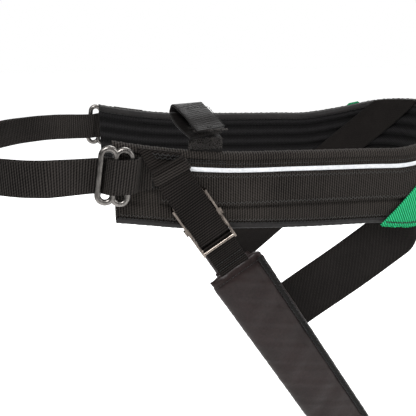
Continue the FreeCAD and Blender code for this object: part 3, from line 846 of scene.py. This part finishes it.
pad_threads = Threads(0.3)
belt_row(pad_threads, lambda h: h - BIND - 0.2, 0.1, 1.5, BELT_RUN - 1.5, pitch=3.0)
belt_row(pad_threads, 8.6, -0.3, 1.5, BELT_RUN - 1.5, pitch=3.0)
for drop in (6.4, 8.0):
    belt_row(pad_threads, drop, -0.25, 52.0, 82.0, pitch=2.0)
    belt_row(pad_threads, drop, -0.25, BELT_RUN - 82.0, BELT_RUN - 52.0, pitch=2.0)
belt_row(pad_threads, 6.6, -10.2, 1.5, BELT_RUN - 1.5, pitch=3.2)
belt_row(pad_threads, lambda h: h - 6.6, -10.2, 1.5, BELT_RUN - 1.5, pitch=3.2)
pad_threads.finish("pad_stitching", thread_dark, "belt", "belt_fabric")
web_threads = Threads(0.22)
for v in (WEB_DROP + 2.6, WEB_DROP + WEB_WIDTH - 2.6):
    belt_row(web_threads, v, 0.05 + WEB_THICK + 0.08, 33.0, BELT_RUN - 33.0, pitch=1.7, gap=0.1,
             zigzag=1.0)
# The grey of this thread is a painted highlight on dark thread.
web_threads.finish("waist_webbing_stitching", thread_grey_painted_highlight, "belt")
edge_threads = Threads(0.2)
belt_row(edge_threads, lambda h: h - BIND - 2.4, 0.2, 3.0, BELT_RUN - 3.0, pitch=1.6, gap=0.1,
         zigzag=0.9)
# The grey of this thread is a painted highlight on dark thread.
edge_threads.finish("lower_edge_stitching", thread_grey_painted_highlight, "belt", "belt_fabric")


# ---------------------------------------------------------------- diagonal hip straps

PAD_IN = -THICK - 0.15


def on_side(s, z, offset, radius):
    """A point on the belt's left side at a distance s along it, and the way outward there."""
    if s <= CENTRE_X:
        return Vector((s, -RADIUS - offset, z)), Vector((0, -1, 0))
    angle = (s - CENTRE_X) / radius
    out = Vector((math.sin(angle), -math.cos(angle), 0))
    return Vector((CENTRE_X, 0, z)) + out * (RADIUS + offset), out


def grid_strap(name, place, length, width, thick, rib, depth, start=0.0, across=26, frayed=0.0):
    """Wide webbing on a curved surface: place(l, a) gives a point and the way outward."""
    rows = round((length - start) / (rib / 4))
    section = strap_section(width, thick, across)
    verts = []
    uvs = []
    for i in range(rows + 1):
        for a, o in section:
            reach = length + frayed * (waver(a * 3.1, pad_seeds[4], 2.3) - 0.5)
            run = start + (reach - start) * i / rows
            rise = depth * math.cos(2 * math.pi * run / rib) if abs(o) > thick * 0.2 else 0.0
            at, out = place(run, a)
            verts.append(at + out * (o + math.copysign(rise, o)))
            uvs.append((run, a))
    return skin(name, verts, uvs, len(section))


HIP_SLOPE = math.radians(43.0)
HIP_FOOT = 98.3
HIP_REAR_SHARE = 34.0 / HIP_WIDTH
HIP_HIGH = Vector((106.0, -92.0, -51.5))
HIP_LOW = Vector((-20.0, -80.0, -143.0))
hip_along = (HIP_LOW - HIP_HIGH).normalized()
hip_across = Vector((0, -1, 0)).cross(hip_along).normalized()
if hip_across.z < 0:
    hip_across = -hip_across
hip_out = hip_along.cross(hip_across).normalized()
if hip_out.y > 0:
    hip_out = -hip_out
HIP_UP = 140.0


def hip_place(run, a):
    """The hip strap: down the lining, out under the pad's lower edge and on to the thigh loop."""
    down = run - HIP_UP
    b = a * HIP_REAR_SHARE
    s = HIP_FOOT - down * math.cos(HIP_SLOPE) - b * math.sin(HIP_SLOPE)
    z = LEG.z - down * math.sin(HIP_SLOPE) + b * math.cos(HIP_SLOPE)
    pad_at, pad_out = on_side(s, z, PAD_IN - 0.9, RADIUS - THICK)
    free_at = HIP_HIGH + hip_along * down + hip_across * a + hip_out * 0.9
    t = ease((down + 14.0) / 34.0)
    sag = 1.6 * math.sin(math.pi * ease(down / 130.0)) * (a / HIP_WIDTH * 2) ** 2
    out = pad_out.lerp(hip_out, t).normalized()
    return pad_at.lerp(free_at, t) + out * sag * t, out


def cut_above(obj, height_at):
    """Cut cloth off along the belt's top edge, and at the belt's centre plane."""
    trim(obj, lambda at: top_z(belt_q(at)) + height_at, 1)


def trim(obj, limit, side):
    """Trim cloth to a height limit: side 1 takes off what is above it, -1 what is below."""
    bm = bmesh.new()
    bm.from_mesh(obj.data)
    over = set()
    for vert in bm.verts:
        at = vert.co / MM
        height = limit(at)
        if (at.z - height) * side > 0:
            vert.co.z = height * MM
            over.add(vert)
    gone = [face for face in bm.faces if all(vert in over for vert in face.verts)
            or face.calc_center_median().y > -0.4 * MM]
    bmesh.ops.delete(bm, geom=gone, context="FACES")
    rim = [edge for edge in bm.edges if edge.is_boundary]
    bmesh.ops.holes_fill(bm, edges=rim, sides=0)
    bmesh.ops.recalc_face_normals(bm, faces=bm.faces)
    bm.to_mesh(obj.data)
    bm.free()


def belt_q(at):
    """Distance along the belt at a point on its left half."""
    if at.x <= CENTRE_X:
        return at.x - FRONT_X
    return SIDE_RUN + RADIUS * math.atan2(at.x - CENTRE_X, -at.y)


hip_length = HIP_UP + (HIP_LOW - HIP_HIGH).length
left_hip = grid_strap("left_hip_strap_web", hip_place, hip_length, HIP_WIDTH, 1.8, 1.5, 0.06)
cut_above(left_hip, -0.6)
for side, obj, y in dress_pair(left_hip, hip_webbing, None, "wear_webbing",
                               "hip_strap_rear", "hip_strap"):
    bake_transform(obj)

WEAR_SLOPE = math.radians(45.0)
WEAR_FOOT = 97.0
WEAR_DOWN = 88.0


def wear_place(run, a):
    """The green layer sewn over the belt's outer face, from its top edge to its lower edge."""
    down = run - WEAR_DOWN
    s = WEAR_FOOT - down * math.cos(WEAR_SLOPE) - a * math.sin(WEAR_SLOPE)
    z = LEG.z - down * math.sin(WEAR_SLOPE) + a * math.cos(WEAR_SLOPE)
    return on_side(s, z, WEAR_LIFT, RADIUS)


WEAR_LIFT = WEB_THICK + 0.95


def wear_hem(q):
    """Height of the green layer's lower edge, which droops towards the back."""
    return bottom_z(q) + 0.6 - 5.5 * ease((q - 205.0) / 55.0)


def cut_below(obj):
    """Cut the green layer to its ragged lower edge."""
    trim(obj, lambda at: wear_hem(belt_q(at)) + 0.5 * (waver(at.x, pad_seeds[5], 1.9) - 0.5), -1)


left_wear = grid_strap("left_wear_web", wear_place, WEAR_DOWN + 40.0, HIP_WIDTH, WEB_THICK,
                       1.6, 0.08)
cut_above(left_wear, 1.4)
cut_below(left_wear)
dress_pair(left_wear, green_webbing, "belt", "wear_webbing", "hip_wear_layer")


# ---------------------------------------------------------------- leg straps and their sleeves

DOWN = Vector((math.cos(LEG_TILT), 0, -math.sin(LEG_TILT)))
OVER = Vector((math.sin(LEG_TILT), 0, math.cos(LEG_TILT)))
OUT = Vector((0, -1, 0))
TOP_DOWN = Vector((math.cos(LEG_TOP_TILT), 0, -math.sin(LEG_TOP_TILT)))
TOP_OVER = Vector((math.sin(LEG_TOP_TILT), 0, math.cos(LEG_TOP_TILT)))
HINGE_U = -(HINGE_Z - LEG.z) / math.sin(LEG_TILT)
HINGE = LEG + DOWN * HINGE_U
MID = 2.5
GAP = 1.5 + WEB_THICK / 2


def in_leg(u, w):
    """A point u down the hanging leg strap and w outward of it."""
    return LEG + DOWN * u + OUT * w


def in_top(u, w):
    """The same, above the fold, where the strap lies on the belt."""
    return HINGE + TOP_DOWN * u + OUT * w


def leg_strap_line():
    """Centreline of the adjusting strap: its free end, down round the slide bar, and up."""
    line = [(in_top(-18.5, MID + GAP + 0.5), 0.0), (in_top(-10, MID + GAP), 0.0),
            (in_top(-4.5, MID + GAP), 0.1), (in_leg(HINGE_U + 4.5, MID + GAP), 0.9)]
    for u in (-44.0, -36.0, -26.0, -17.0, -9.5):
        line.append((in_leg(u, MID + GAP), 1.0))
    for turn in range(1, 6):
        angle = math.pi * turn / 6
        line.append((in_leg(-7.4 + GAP * math.sin(angle), MID + GAP * math.cos(angle)), 1.0))
    for u in (-9.5, -17.0, -26.0, -36.0, -44.0):
        line.append((in_leg(u, MID - GAP), 1.0))
    line += [(in_leg(HINGE_U + 4.5, MID - GAP), 0.9), (in_top(-4.5, MID - GAP), 0.1),
             (in_top(-15, MID - GAP), 0.0), (in_top(-25.5, MID - GAP - 0.3), 0.0),
             (in_top(-41.0, MID - GAP - 0.3), 0.0)]
    return line


def webbing_frames(points, widths, step=0.8):
    """Frames on a smooth line; widths gives the across direction at each point."""
    line = spline(points, step)
    frames = []
    arc = [0.0]
    for a, b in zip(line, line[1:]):
        arc.append(arc[-1] + (b - a).length)
    marks = []
    k = 0
    for p in points:
        while k < len(line) - 1 and (line[k] - p).length > (line[k + 1] - p).length:
            k += 1
        marks.append(arc[k])
    for i, at in enumerate(line):
        n = int(np.clip(np.searchsorted(marks, arc[i]) - 1, 0, len(marks) - 2))
        t = min(max((arc[i] - marks[n]) / max(marks[n + 1] - marks[n], 1e-6), 0), 1)
        wide = widths[n].lerp(widths[n + 1], t)
        ahead = (line[min(i + 1, len(line) - 1)] - line[max(i - 1, 0)]).normalized()
        wide = (wide - ahead * wide.dot(ahead)).normalized()
        frames.append((at, wide, ahead.cross(wide)))
    return frames


marked = leg_strap_line()
strap_frames = webbing_frames([p for p, _ in marked],
                              [TOP_OVER.lerp(OVER, t).normalized() for _, t in marked])
left_leg_strap = strap("left_leg_strap_web", strap_frames, wave=0.6)
cut_above(left_leg_strap, -0.5)
for side, obj, y in dress_pair(left_leg_strap, strap_webbing, None, "webbing",
                               "leg_strap", "leg_strap_top", "leg_strap_tail"):
    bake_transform(obj)

# The lower webbing: round the buckle's foot bar, then through the sleeve and back up.
STRAIGHT = 225.0
BEND = 40.0
LEAN = math.radians(20.0)


def loop_place(distance, offset, start):
    """A place on the thigh loop at a distance down it from start, and the way outward there."""
    u = start + distance
    if u <= STRAIGHT:
        return in_leg(u, offset), OUT
    reach = BEND + offset
    angle = (u - STRAIGHT) / BEND
    last = math.pi + LEAN
    if angle <= last:
        out = DOWN * math.sin(angle) + OUT * math.cos(angle)
        return in_leg(STRAIGHT, -BEND) + out * reach, out
    out = DOWN * math.sin(last) + OUT * math.cos(last)
    back = DOWN * math.cos(last) - OUT * math.sin(last)
    return in_leg(STRAIGHT, -BEND) + out * reach + back * ((angle - last) * BEND), out


def loop_length(start, end_u):
    """Distance down the loop until the returning strand is back up at end_u."""
    turn_end = STRAIGHT - math.sin(LEAN) * BEND
    return (STRAIGHT - start) + (math.pi + LEAN) * BEND + (turn_end - end_u) / math.cos(LEAN)


fold_radius = 1.8 + 0.25 + WEB_THICK / 2
lower_points = [in_leg(14.0, -1.9), in_leg(6.0, -fold_radius + 0.3), in_leg(0.0, -fold_radius)]
for turn in (1, 2, 3):
    angle = -math.pi / 2 - math.pi * turn / 4
    lower_points.append(in_leg(fold_radius * math.cos(angle), fold_radius * math.sin(angle)))
lower_points += [in_leg(0.0, fold_radius), in_leg(6.0, fold_radius - 0.5), in_leg(14.0, 1.2),
                 in_leg(26.0, 0.2)]
total = loop_length(30.0, 84.0)
for i in range(1, 60):
    lower_points.append(loop_place(total * i / 59, 0.0, 30.0)[0])
lower_frames = []
lower_line = spline(lower_points, 1.0)
for i, at in enumerate(lower_line):
    ahead = (lower_line[min(i + 1, len(lower_line) - 1)] - lower_line[max(i - 1, 0)]).normalized()
    lower_frames.append((at, OVER, ahead.cross(OVER)))
dress_pair(strap("left_lower_web", lower_frames), strap_webbing, "leg_loop", "webbing",
           "leg_strap_lower")

SLEEVE_START = 25.0
SLEEVE_WIDTH = 49.0
sleeve_run = loop_length(SLEEVE_START, 118.0)


def sleeve_section(width, up, down, count=44):
    """A pillow outline: nearly flat faces, full edges."""
    points = []
    middle = (up - down) / 2
    for i in range(count):
        angle = 2 * math.pi * i / count
        c, s = math.cos(angle), math.sin(angle)
        a = math.copysign(abs(c) ** 0.42, c) * width / 2
        o = math.copysign(abs(s) ** 0.62, s) * (up + down) / 2
        points.append((a, middle + o))
    return points


def sleeve_mesh(name, step):
    """The sleeve's pillow outline carried round the thigh loop, thinner at its ends."""
    rows = round(sleeve_run / step)
    section = sleeve_section(SLEEVE_WIDTH, 3.2, 7.4)
    verts = []
    uvs = []
    for i in range(rows + 1):
        distance = sleeve_run * i / rows
        taper = min(1.0, 0.55 + 0.45 * min(distance, sleeve_run - distance) / 7.0)
        for a, o in section:
            middle = -2.1
            at, out = loop_place(distance, middle + (o - middle) * taper, SLEEVE_START)
            verts.append(at + OVER * (a * (0.97 + 0.03 * taper)))
            uvs.append((distance, a))
    return skin(name, verts, uvs, len(section))


left_sleeve = sleeve_mesh("left_sleeve_pad", 2.0)
SLEEVE_RISE = 1.4
SLEEVE_FALL = 0.7


def vertex_values(mesh, what):
    """Each vertex's co or normal, as rows of three."""
    values = np.empty(len(mesh.vertices) * 3)
    mesh.vertices.foreach_get(what, values)
    return values.reshape(-1, 3)


def applied(obj):
    """The piece's mesh with its modifiers applied."""
    depsgraph = bpy.context.evaluated_depsgraph_get()
    return bpy.data.meshes.new_from_object(obj.evaluated_get(depsgraph))


def inflate(obj, pressure=4.0, voxel=3.2):
    """Fill a padded piece like a cushion and keep the creases that its cloth makes."""
    remesh = obj.modifiers.new("even", "REMESH")
    remesh.mode = "VOXEL"
    remesh.voxel_size = voxel * MM
    even = applied(obj)
    obj.modifiers.remove(remesh)
    obj.data = even
    start = vertex_values(even, "co")
    cloth = obj.modifiers.new("cloth", "CLOTH")
    cloth.settings.quality = 6
    cloth.settings.mass = 0.2
    cloth.settings.tension_stiffness = 25
    cloth.settings.bending_stiffness = 2.0
    cloth.settings.use_pressure = True
    cloth.settings.uniform_pressure_force = pressure
    cloth.settings.effector_weights.gravity = 0.0
    cloth.point_cache.frame_start = 1
    cloth.point_cache.frame_end = 20
    for step in range(1, 21):
        bpy.context.scene.frame_set(step)
    swollen = applied(obj)
    bpy.context.scene.frame_set(1)
    normals = vertex_values(even, "normal")
    rise = ((vertex_values(swollen, "co") - start) * normals).sum(axis=1)
    rise = np.clip(rise - np.median(rise), -SLEEVE_FALL * MM, SLEEVE_RISE * MM)
    edges = np.empty(len(even.edges) * 2, dtype=np.int32)
    even.edges.foreach_get("vertices", edges)
    edges = edges.reshape(-1, 2)
    for _ in range(3):
        total = rise.copy()
        count = np.ones(len(rise))
        for here, there in ((edges[:, 0], edges[:, 1]), (edges[:, 1], edges[:, 0])):
            np.add.at(total, here, rise[there])
            np.add.at(count, here, 1)
        rise = total / count
    swollen.vertices.foreach_set("co", (start + normals * rise[:, None]).ravel())
    obj.modifiers.remove(cloth)
    obj.data = swollen
    smooth = obj.modifiers.new("smooth", "SUBSURF")
    smooth.levels = smooth.render_levels = 1
    done = applied(obj)
    obj.modifiers.remove(smooth)
    obj.data = done
    done.polygons.foreach_set("use_smooth", [True] * len(done.polygons))


def sleeve_detail(obj):
    """Sew the sleeve: a hem at its upper end, a groove beside the closure and soft cross creases.
    """
    _, crease_seed, lengthwise = seeds(), seeds(), seeds()
    for vert in obj.data.vertices:
        at = vert.co / MM
        u = (at - LEG).dot(DOWN)
        v = (at - LEG).dot(OVER)
        w = (at - LEG).dot(OUT)
        if w > -14:
            distance = u - SLEEVE_START
        else:
            distance = 260.0 + (STRAIGHT - u)
        crease = (waver(distance + 0.5 * v, crease_seed, 34.0) - 0.5) * 1.1
        crease += (waver(distance - 0.9 * v, lengthwise, 15.0) - 0.5) * 0.45
        hem = -0.8 * bump_at(distance, 6.0, 0.8)
        groove = -0.7 * bump_at(v, 12.4, 0.8) if w > -2 else 0.0
        edge = 1.0 - min(abs(v) / (SLEEVE_WIDTH / 2), 1.0) ** 4
        vert.co += vert.normal * MM * (hem + groove + crease * edge)
    obj.data.update()


inflate(left_sleeve)
sleeve_detail(left_sleeve)
for side, obj, y in dress_pair(left_sleeve, sleeve_cloth, "leg_loop", "satin_fabric",
                               "leg_sleeve_cover", "leg_sleeve_foam"):
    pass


def on_sleeve(distance, v, lift):
    """A point just above the sleeve's outer face, at a distance below its upper end."""
    return in_leg(SLEEVE_START + distance, 3.4 + lift) + OVER * v


tape_frames = [(on_sleeve(d, 20.0, 0.9), OVER, OUT) for d in np.linspace(4.0, 200.0, 60)]
left_tape = strap("left_closure_web", tape_frames, 4.4, 0.9, rib=1.1, depth=0.08, wave=4.0)
dress_pair(left_tape, hook_cloth, "leg_loop", "hook_loop", "sleeve_closure_tape")


sleeve_threads = Threads(0.3)
hem_line = [on_sleeve(6.0, v, 0.0) for v in np.linspace(-21.5, 21.5, 20)]
sleeve_threads.row(hem_line, [OUT] * 20, pitch=2.8)
for v in (18.4, 21.6):
    line = [on_sleeve(d, v, 1.4) for d in np.linspace(5.0, 199.0, 60)]
    sleeve_threads.row(line, [OUT] * 60, pitch=2.0, gap=0.1, zigzag=0.5)
sleeve_threads.finish_pair("sleeve_stitching", thread_dark, "leg_loop", "satin_fabric")

# Keeper: a band of webbing round both layers of the strap.
keeper_frames = []
across_half = WEB_WIDTH / 2 + 1.0
deep_half = 1.5 + WEB_THICK + 0.9
for i in range(64):
    angle = 2 * math.pi * i / 64
    c, s = math.cos(angle), math.sin(angle)
    v = math.copysign(abs(c) ** 0.3, c) * across_half
    w = math.copysign(abs(s) ** 0.5, s) * deep_half
    at = in_top(-11.2, MID + w) + TOP_OVER * v
    out = (TOP_OVER * (v / across_half) ** 3 + OUT * (w / deep_half)).normalized()
    keeper_frames.append((at, TOP_DOWN, out))


left_keeper = sweep("left_keeper_web", keeper_frames, strap_section(7.0, 1.3), ring=True)
dress_pair(left_keeper, keeper_web, "belt", "webbing", "strap_keeper")

strap_threads = Threads(0.4)
for drop in (3.4, 5.6):
    line = [Vector((x, -115.9, edge_height(TOP_EDGE, x) - drop))
            for x in np.linspace(-123.5 + drop * 0.7, -101.5 - drop * 0.3, 14)]
    strap_threads.row(line, [OUT] * 14, pitch=1.9, gap=0.1, zigzag=0.8)
strap_threads.finish_pair("leg_strap_stitching", thread_dark, "belt", "webbing")
fold_threads = Threads(0.32)
line = [in_leg(15.5, 2.2) + OVER * v for v in np.linspace(-11.5, 11.5, 12)]
fold_threads.row(line, [OUT] * 12, pitch=2.4)
line = [in_leg(21.0, 1.5) + OVER * v for v in np.linspace(-11.5, 11.5, 12)]
fold_threads.row(line, [OUT] * 12, pitch=2.4)
fold_threads.finish_pair("lower_web_stitching", thread_dark, "leg_loop", "webbing")


# ---------------------------------------------------------------- front straps

def rounded(points, corner):
    """A plan line with an arc at each corner."""
    line = [Vector(points[0])]
    for before, at, after in zip(points, points[1:], points[2:]):
        before, at, after = Vector(before), Vector(at), Vector(after)
        into = (at - before).normalized()
        onward = (after - at).normalized()
        turn = math.acos(max(-1.0, min(1.0, into.dot(onward))))
        reach = min(corner * math.tan(turn / 2), 0.45 * (at - before).length,
                    0.45 * (after - at).length)
        first = at - into * reach
        last = at + onward * reach
        for k in range(7):
            t = k / 6
            line.append(first * (1 - t) ** 2 + at * 2 * t * (1 - t) + last * t * t)
    line.append(Vector(points[-1]))
    return line


def front_curve(inward, steps=14):
    """Points round the front corner at a distance inside the strap's mean line."""
    lead = math.radians(12.0)
    points = []
    for step in range(steps + 1):
        angle = lead + (math.pi / 2 - lead) * step / steps
        points.append((BUCKLE_X + 86.0 - (86.0 - inward) * math.sin(angle),
                       -29.0 - (86.0 - inward) * math.cos(angle)))
    return points


def front_frames(points, corner):
    """Frames for a strap seen from above; near the ring its width leans with the bars."""
    frames = []
    line = rounded([(x, y, 0) for x, y in points], corner)
    for i, at in enumerate(line):
        ahead = (line[min(i + 1, len(line) - 1)] - line[max(i - 1, 0)]).normalized()
        lean = math.tan(RING_TILT) * (1.0 - ease((-160.0 - at.x) / 30.0))
        wide = Vector((lean, 0, 1)).normalized()
        if at.x > -135:
            wide = Vector((lean * ease((-118.0 - at.x) / 15.0), 0, 1)).normalized()
        frames.append((Vector((at.x, at.y, STRAP_Z)), wide, ahead.cross(wide).normalized()))
    return frames


over_y = RING.y - 2.25 - WEB_THICK / 2 - 1.6
under_y = RING.y + 2.25 + WEB_THICK / 2 + 1.4
fold = [(BUCKLE_X + 2.6 * math.cos(math.pi - math.pi * k / 8),
         -22.0 + 2.6 * math.sin(math.pi * k / 8)) for k in range(9)]
front_points = [(-111.5, -111.0), (-130, -111.0), (-134, over_y), (-149, over_y),
                (-156.3, under_y), (-163.5, under_y)]
front_points += front_curve(-2.6) + fold + front_curve(2.6)[::-1]
front_points += [(-163.5, under_y + 2.2), (-155, under_y + 2.0), (-151, under_y - 0.1),
                 (-144.5, under_y - 0.3)]
left_front = strap("left_front_web", front_frames(front_points, 4.0), wave=0.5)
dress_pair(left_front, front_webbing, "belt", "webbing", "front_strap", "front_strap_return")

BOX_X = -117.0
box_threads = Threads(0.34)
box = [(BOX_X + x, z) for x, z in ((4.4, 10.8), (-4.4, 10.8), (-4.4, -10.8), (4.4, -10.8))]
for a, b in zip(box + [box[0], box[1]], box[1:] + [box[0], box[2], box[3]]):
    line = [Vector((a[0] + (b[0] - a[0]) * t, -111.95, STRAP_Z + a[1] + (b[1] - a[1]) * t))
            for t in np.linspace(0, 1, 8)]
    box_threads.row(line, [OUT] * 8, pitch=2.2)
box_threads.finish_pair("front_box_stitching", thread_dark, "belt", "webbing")


# ---------------------------------------------------------------- hook-and-loop loop, left only

CREST_X = -81.0
LOOP_LEAN = math.radians(10.0)
LOOP_DROOP = math.radians(50.0)
LEAF_Y = -RADIUS + 3.2
LEAF_FOOT = edge_height(TOP_EDGE, CREST_X) - 2.5
CREST_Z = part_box("left_hook_loop_base")[0].z / MM + 8.2
CREST_HEIGHT = 26.0
CREST_TURN = 4.0
loop_turn = Matrix.Rotation(-LOOP_DROOP, 3, "X") @ Matrix.Rotation(-LOOP_LEAN, 3, "Y")


def crest(y, z, x=0.0):
    """A point in the leaned frame of the loop: y through it, z up it, x across it."""
    return Vector((CREST_X, LEAF_Y, CREST_Z)) + loop_turn @ Vector((x, y, z))


loop_dir = loop_turn @ Vector((0, 0, 1))
loop_wide = Vector((1, 0.42, 0)).normalized()
loop_out = loop_turn @ Vector((0, -1, 0))
FLAP_SHIFT = 3.0
base_points = [Vector((CREST_X, LEAF_Y + 0.8, LEAF_FOOT)),
               Vector((CREST_X, LEAF_Y + 0.8, LEAF_FOOT + 4)),
               Vector((CREST_X, LEAF_Y + 0.8, CREST_Z - 3)),
               crest(0.8, 3.5, -0.5), crest(0.9, 10, -3.6), crest(0.7, 18, -6.6),
               crest(0.8, CREST_HEIGHT, -7.0)]
base_widths = [Vector((1, 0, 0))] * 3 + [loop_wide] * 4
left_base = strap("left_hook_base_web",
                  webbing_frames(base_points, base_widths), wave=0.5, depth=0.06)
flap_points = [crest(0.8, CREST_HEIGHT - 0.4, -7.0)]
for k in range(1, 8):
    angle = math.pi * k / 8
    flap_points.append(crest(-3.2 + CREST_TURN * math.cos(angle),
                             CREST_HEIGHT + CREST_TURN * math.sin(angle), 0.3 * k - 7.0))
flap_points += [crest(-7.2, 23, -3.4), crest(-7.9, 14, -0.6), crest(-7.7, 6, 1.6),
                crest(-8.1, 0, 3.0)]
left_flap = strap("left_hook_flap_web",
                  webbing_frames(flap_points, [loop_wide] * 12), wave=0.6,
                  depth=0.06)
dress(left_base, hook_cloth, "belt", "hook_loop", "left_hook_loop_base")
dress(left_flap, hook_cloth, None, "hook_loop", "left_hook_loop_flap")
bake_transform(left_flap)


def tufts(name, at, count, long, body, material, slot_name="hook_loop"):
    """Loose pile: many short looped threads that stand on a leaf; at(r, s) gives point and out."""
    threads = Threads(0.16)
    for _ in range(count):
        place, out = at(rng.random(), rng.random())
        lean = Vector((rng.uniform(-1, 1), rng.uniform(-1, 1), rng.uniform(-1, 1))) * 0.7
        tip = place + (out + lean).normalized() * long * rng.uniform(0.5, 1.2)
        threads.stitch(place, tip, lean.cross(out) + out * 0.01)
    return threads.finish(name, material, body, slot_name)


def base_pile(r, s):
    """The pile on the loop's outward face: up from the belt and over the bend."""
    rise = 17.0 * s
    x = (r - 0.5) * 24.6
    bend = CREST_Z - LEAF_FOOT - 4.5
    if rise < bend:
        return Vector((CREST_X + x, LEAF_Y, LEAF_FOOT + 4.5 + rise)), OUT
    z = 1.5 + rise - bend
    return crest(0.05, z, x - 0.33 * max(z - 2.0, 0.0)), loop_out


tufts("left_hook_pile", base_pile, 2200, 1.9, "belt", loop_pile)


def flap_fray(r, s):
    """Loose threads along the flap's free end."""
    x = (r - 0.5) * 25.0
    return crest(-8.1 + 1.2 * (s - 0.5), 0.2 - 0.16 * x, x + FLAP_SHIFT), -loop_dir


tufts("left_flap_fray", flap_fray, 200, 1.4, "left_loop_flap", loop_pile)


def flap_shift(z):
    """How far along the belt the flap lies at a height up it."""
    return FLAP_SHIFT - 0.27 * z


flap_threads = Threads(0.28)
for z in (2.0, 22.0):
    line = [crest(-8.95, z - 0.16 * v, v + flap_shift(z)) for v in np.linspace(-11.3, 11.3, 12)]
    flap_threads.row(line, [loop_out] * 12, pitch=2.2)
for v in (-11.3, 11.3):
    line = [crest(-8.8, z - 0.16 * v, v + flap_shift(z)) for z in np.linspace(2.0, 22.0, 10)]
    flap_threads.row(line, [loop_out] * 10, pitch=2.2)
flap_threads.finish("left_flap_stitching", thread_dark, "left_loop_flap", "hook_loop")


# ---------------------------------------------------------------- the green layer's lower edge

def wear_span(lift):
    """From and to, along the belt, of the green layer at a height above its lower edge."""
    spans = []
    for a in (HIP_WIDTH / 2, -HIP_WIDTH / 2):
        s = WEAR_FOOT
        for _ in range(6):
            z = wear_hem(s - FRONT_X) + lift
            down = (LEG.z + a * math.cos(WEAR_SLOPE) - z) / math.sin(WEAR_SLOPE)
            s = WEAR_FOOT - down * math.cos(WEAR_SLOPE) - a * math.sin(WEAR_SLOPE)
        spans.append(s)
    return spans


wear_threads = Threads(0.5)
front_s, back_s = wear_span(3.0)
line = []
outs = []
for s_at in np.linspace(front_s + 1.5, back_s - 1.5, 26):
    place, out = on_side(s_at, wear_hem(s_at - FRONT_X) + 3.0, WEAR_LIFT + WEB_THICK / 2, RADIUS)
    line.append(place)
    outs.append(out)
wear_threads.row(line, outs, pitch=2.2, gap=0.15, zigzag=0.5)
wear_threads.finish_pair("wear_stitching", thread_dark, "belt", "wear_webbing")


def wear_fray(r, s):
    """Loose threads along the green layer's lower edge."""
    low, high = wear_span(0.0)
    at = low + 0.8 + (high - low - 1.6) * r
    place, _ = on_side(at, wear_hem(at - FRONT_X) + 0.3, WEAR_LIFT + 1.2 * (s - 0.5), RADIUS)
    return place, Vector((0, 0, -1))


left_fray = tufts("left_wear_fray", wear_fray, 360, 1.8, "belt", green_pile, "wear_webbing")
dress(mirror(left_fray, "right_wear_fray"), green_pile, "belt", "wear_webbing")


# ---------------------------------------------------------------- steel and the end of the script

def finish_steel(material, *names):
    """A better material for CAD nodes whose shapes stay."""
    for name in names:
        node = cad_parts[name]
        node.data.materials.clear()
        node.data.materials.append(material)


for side in ("left", "right"):
    finish_steel(dark_steel, side + "_adjuster_ring")
    finish_steel(bright_steel, side + "_leg_buckle_frame", side + "_leg_buckle_slide_bar")
finish_steel(bright_steel, "front_buckle_back_plate", "front_buckle_cover", "front_buckle_rivets")
finish_steel(dark_steel, "front_buckle_tongue", "front_buckle_upper_button",
             "front_buckle_lower_button")

for end, level in (("upper", 0), ("lower", 1)):
    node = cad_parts[f"front_buckle_{end}_spring"]
    spring = put_in_scene(f"{end}_press_spring", node.data.copy())
    dress(spring, dark_steel, "belt", "spring_steel", node.name)
    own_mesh(spring)
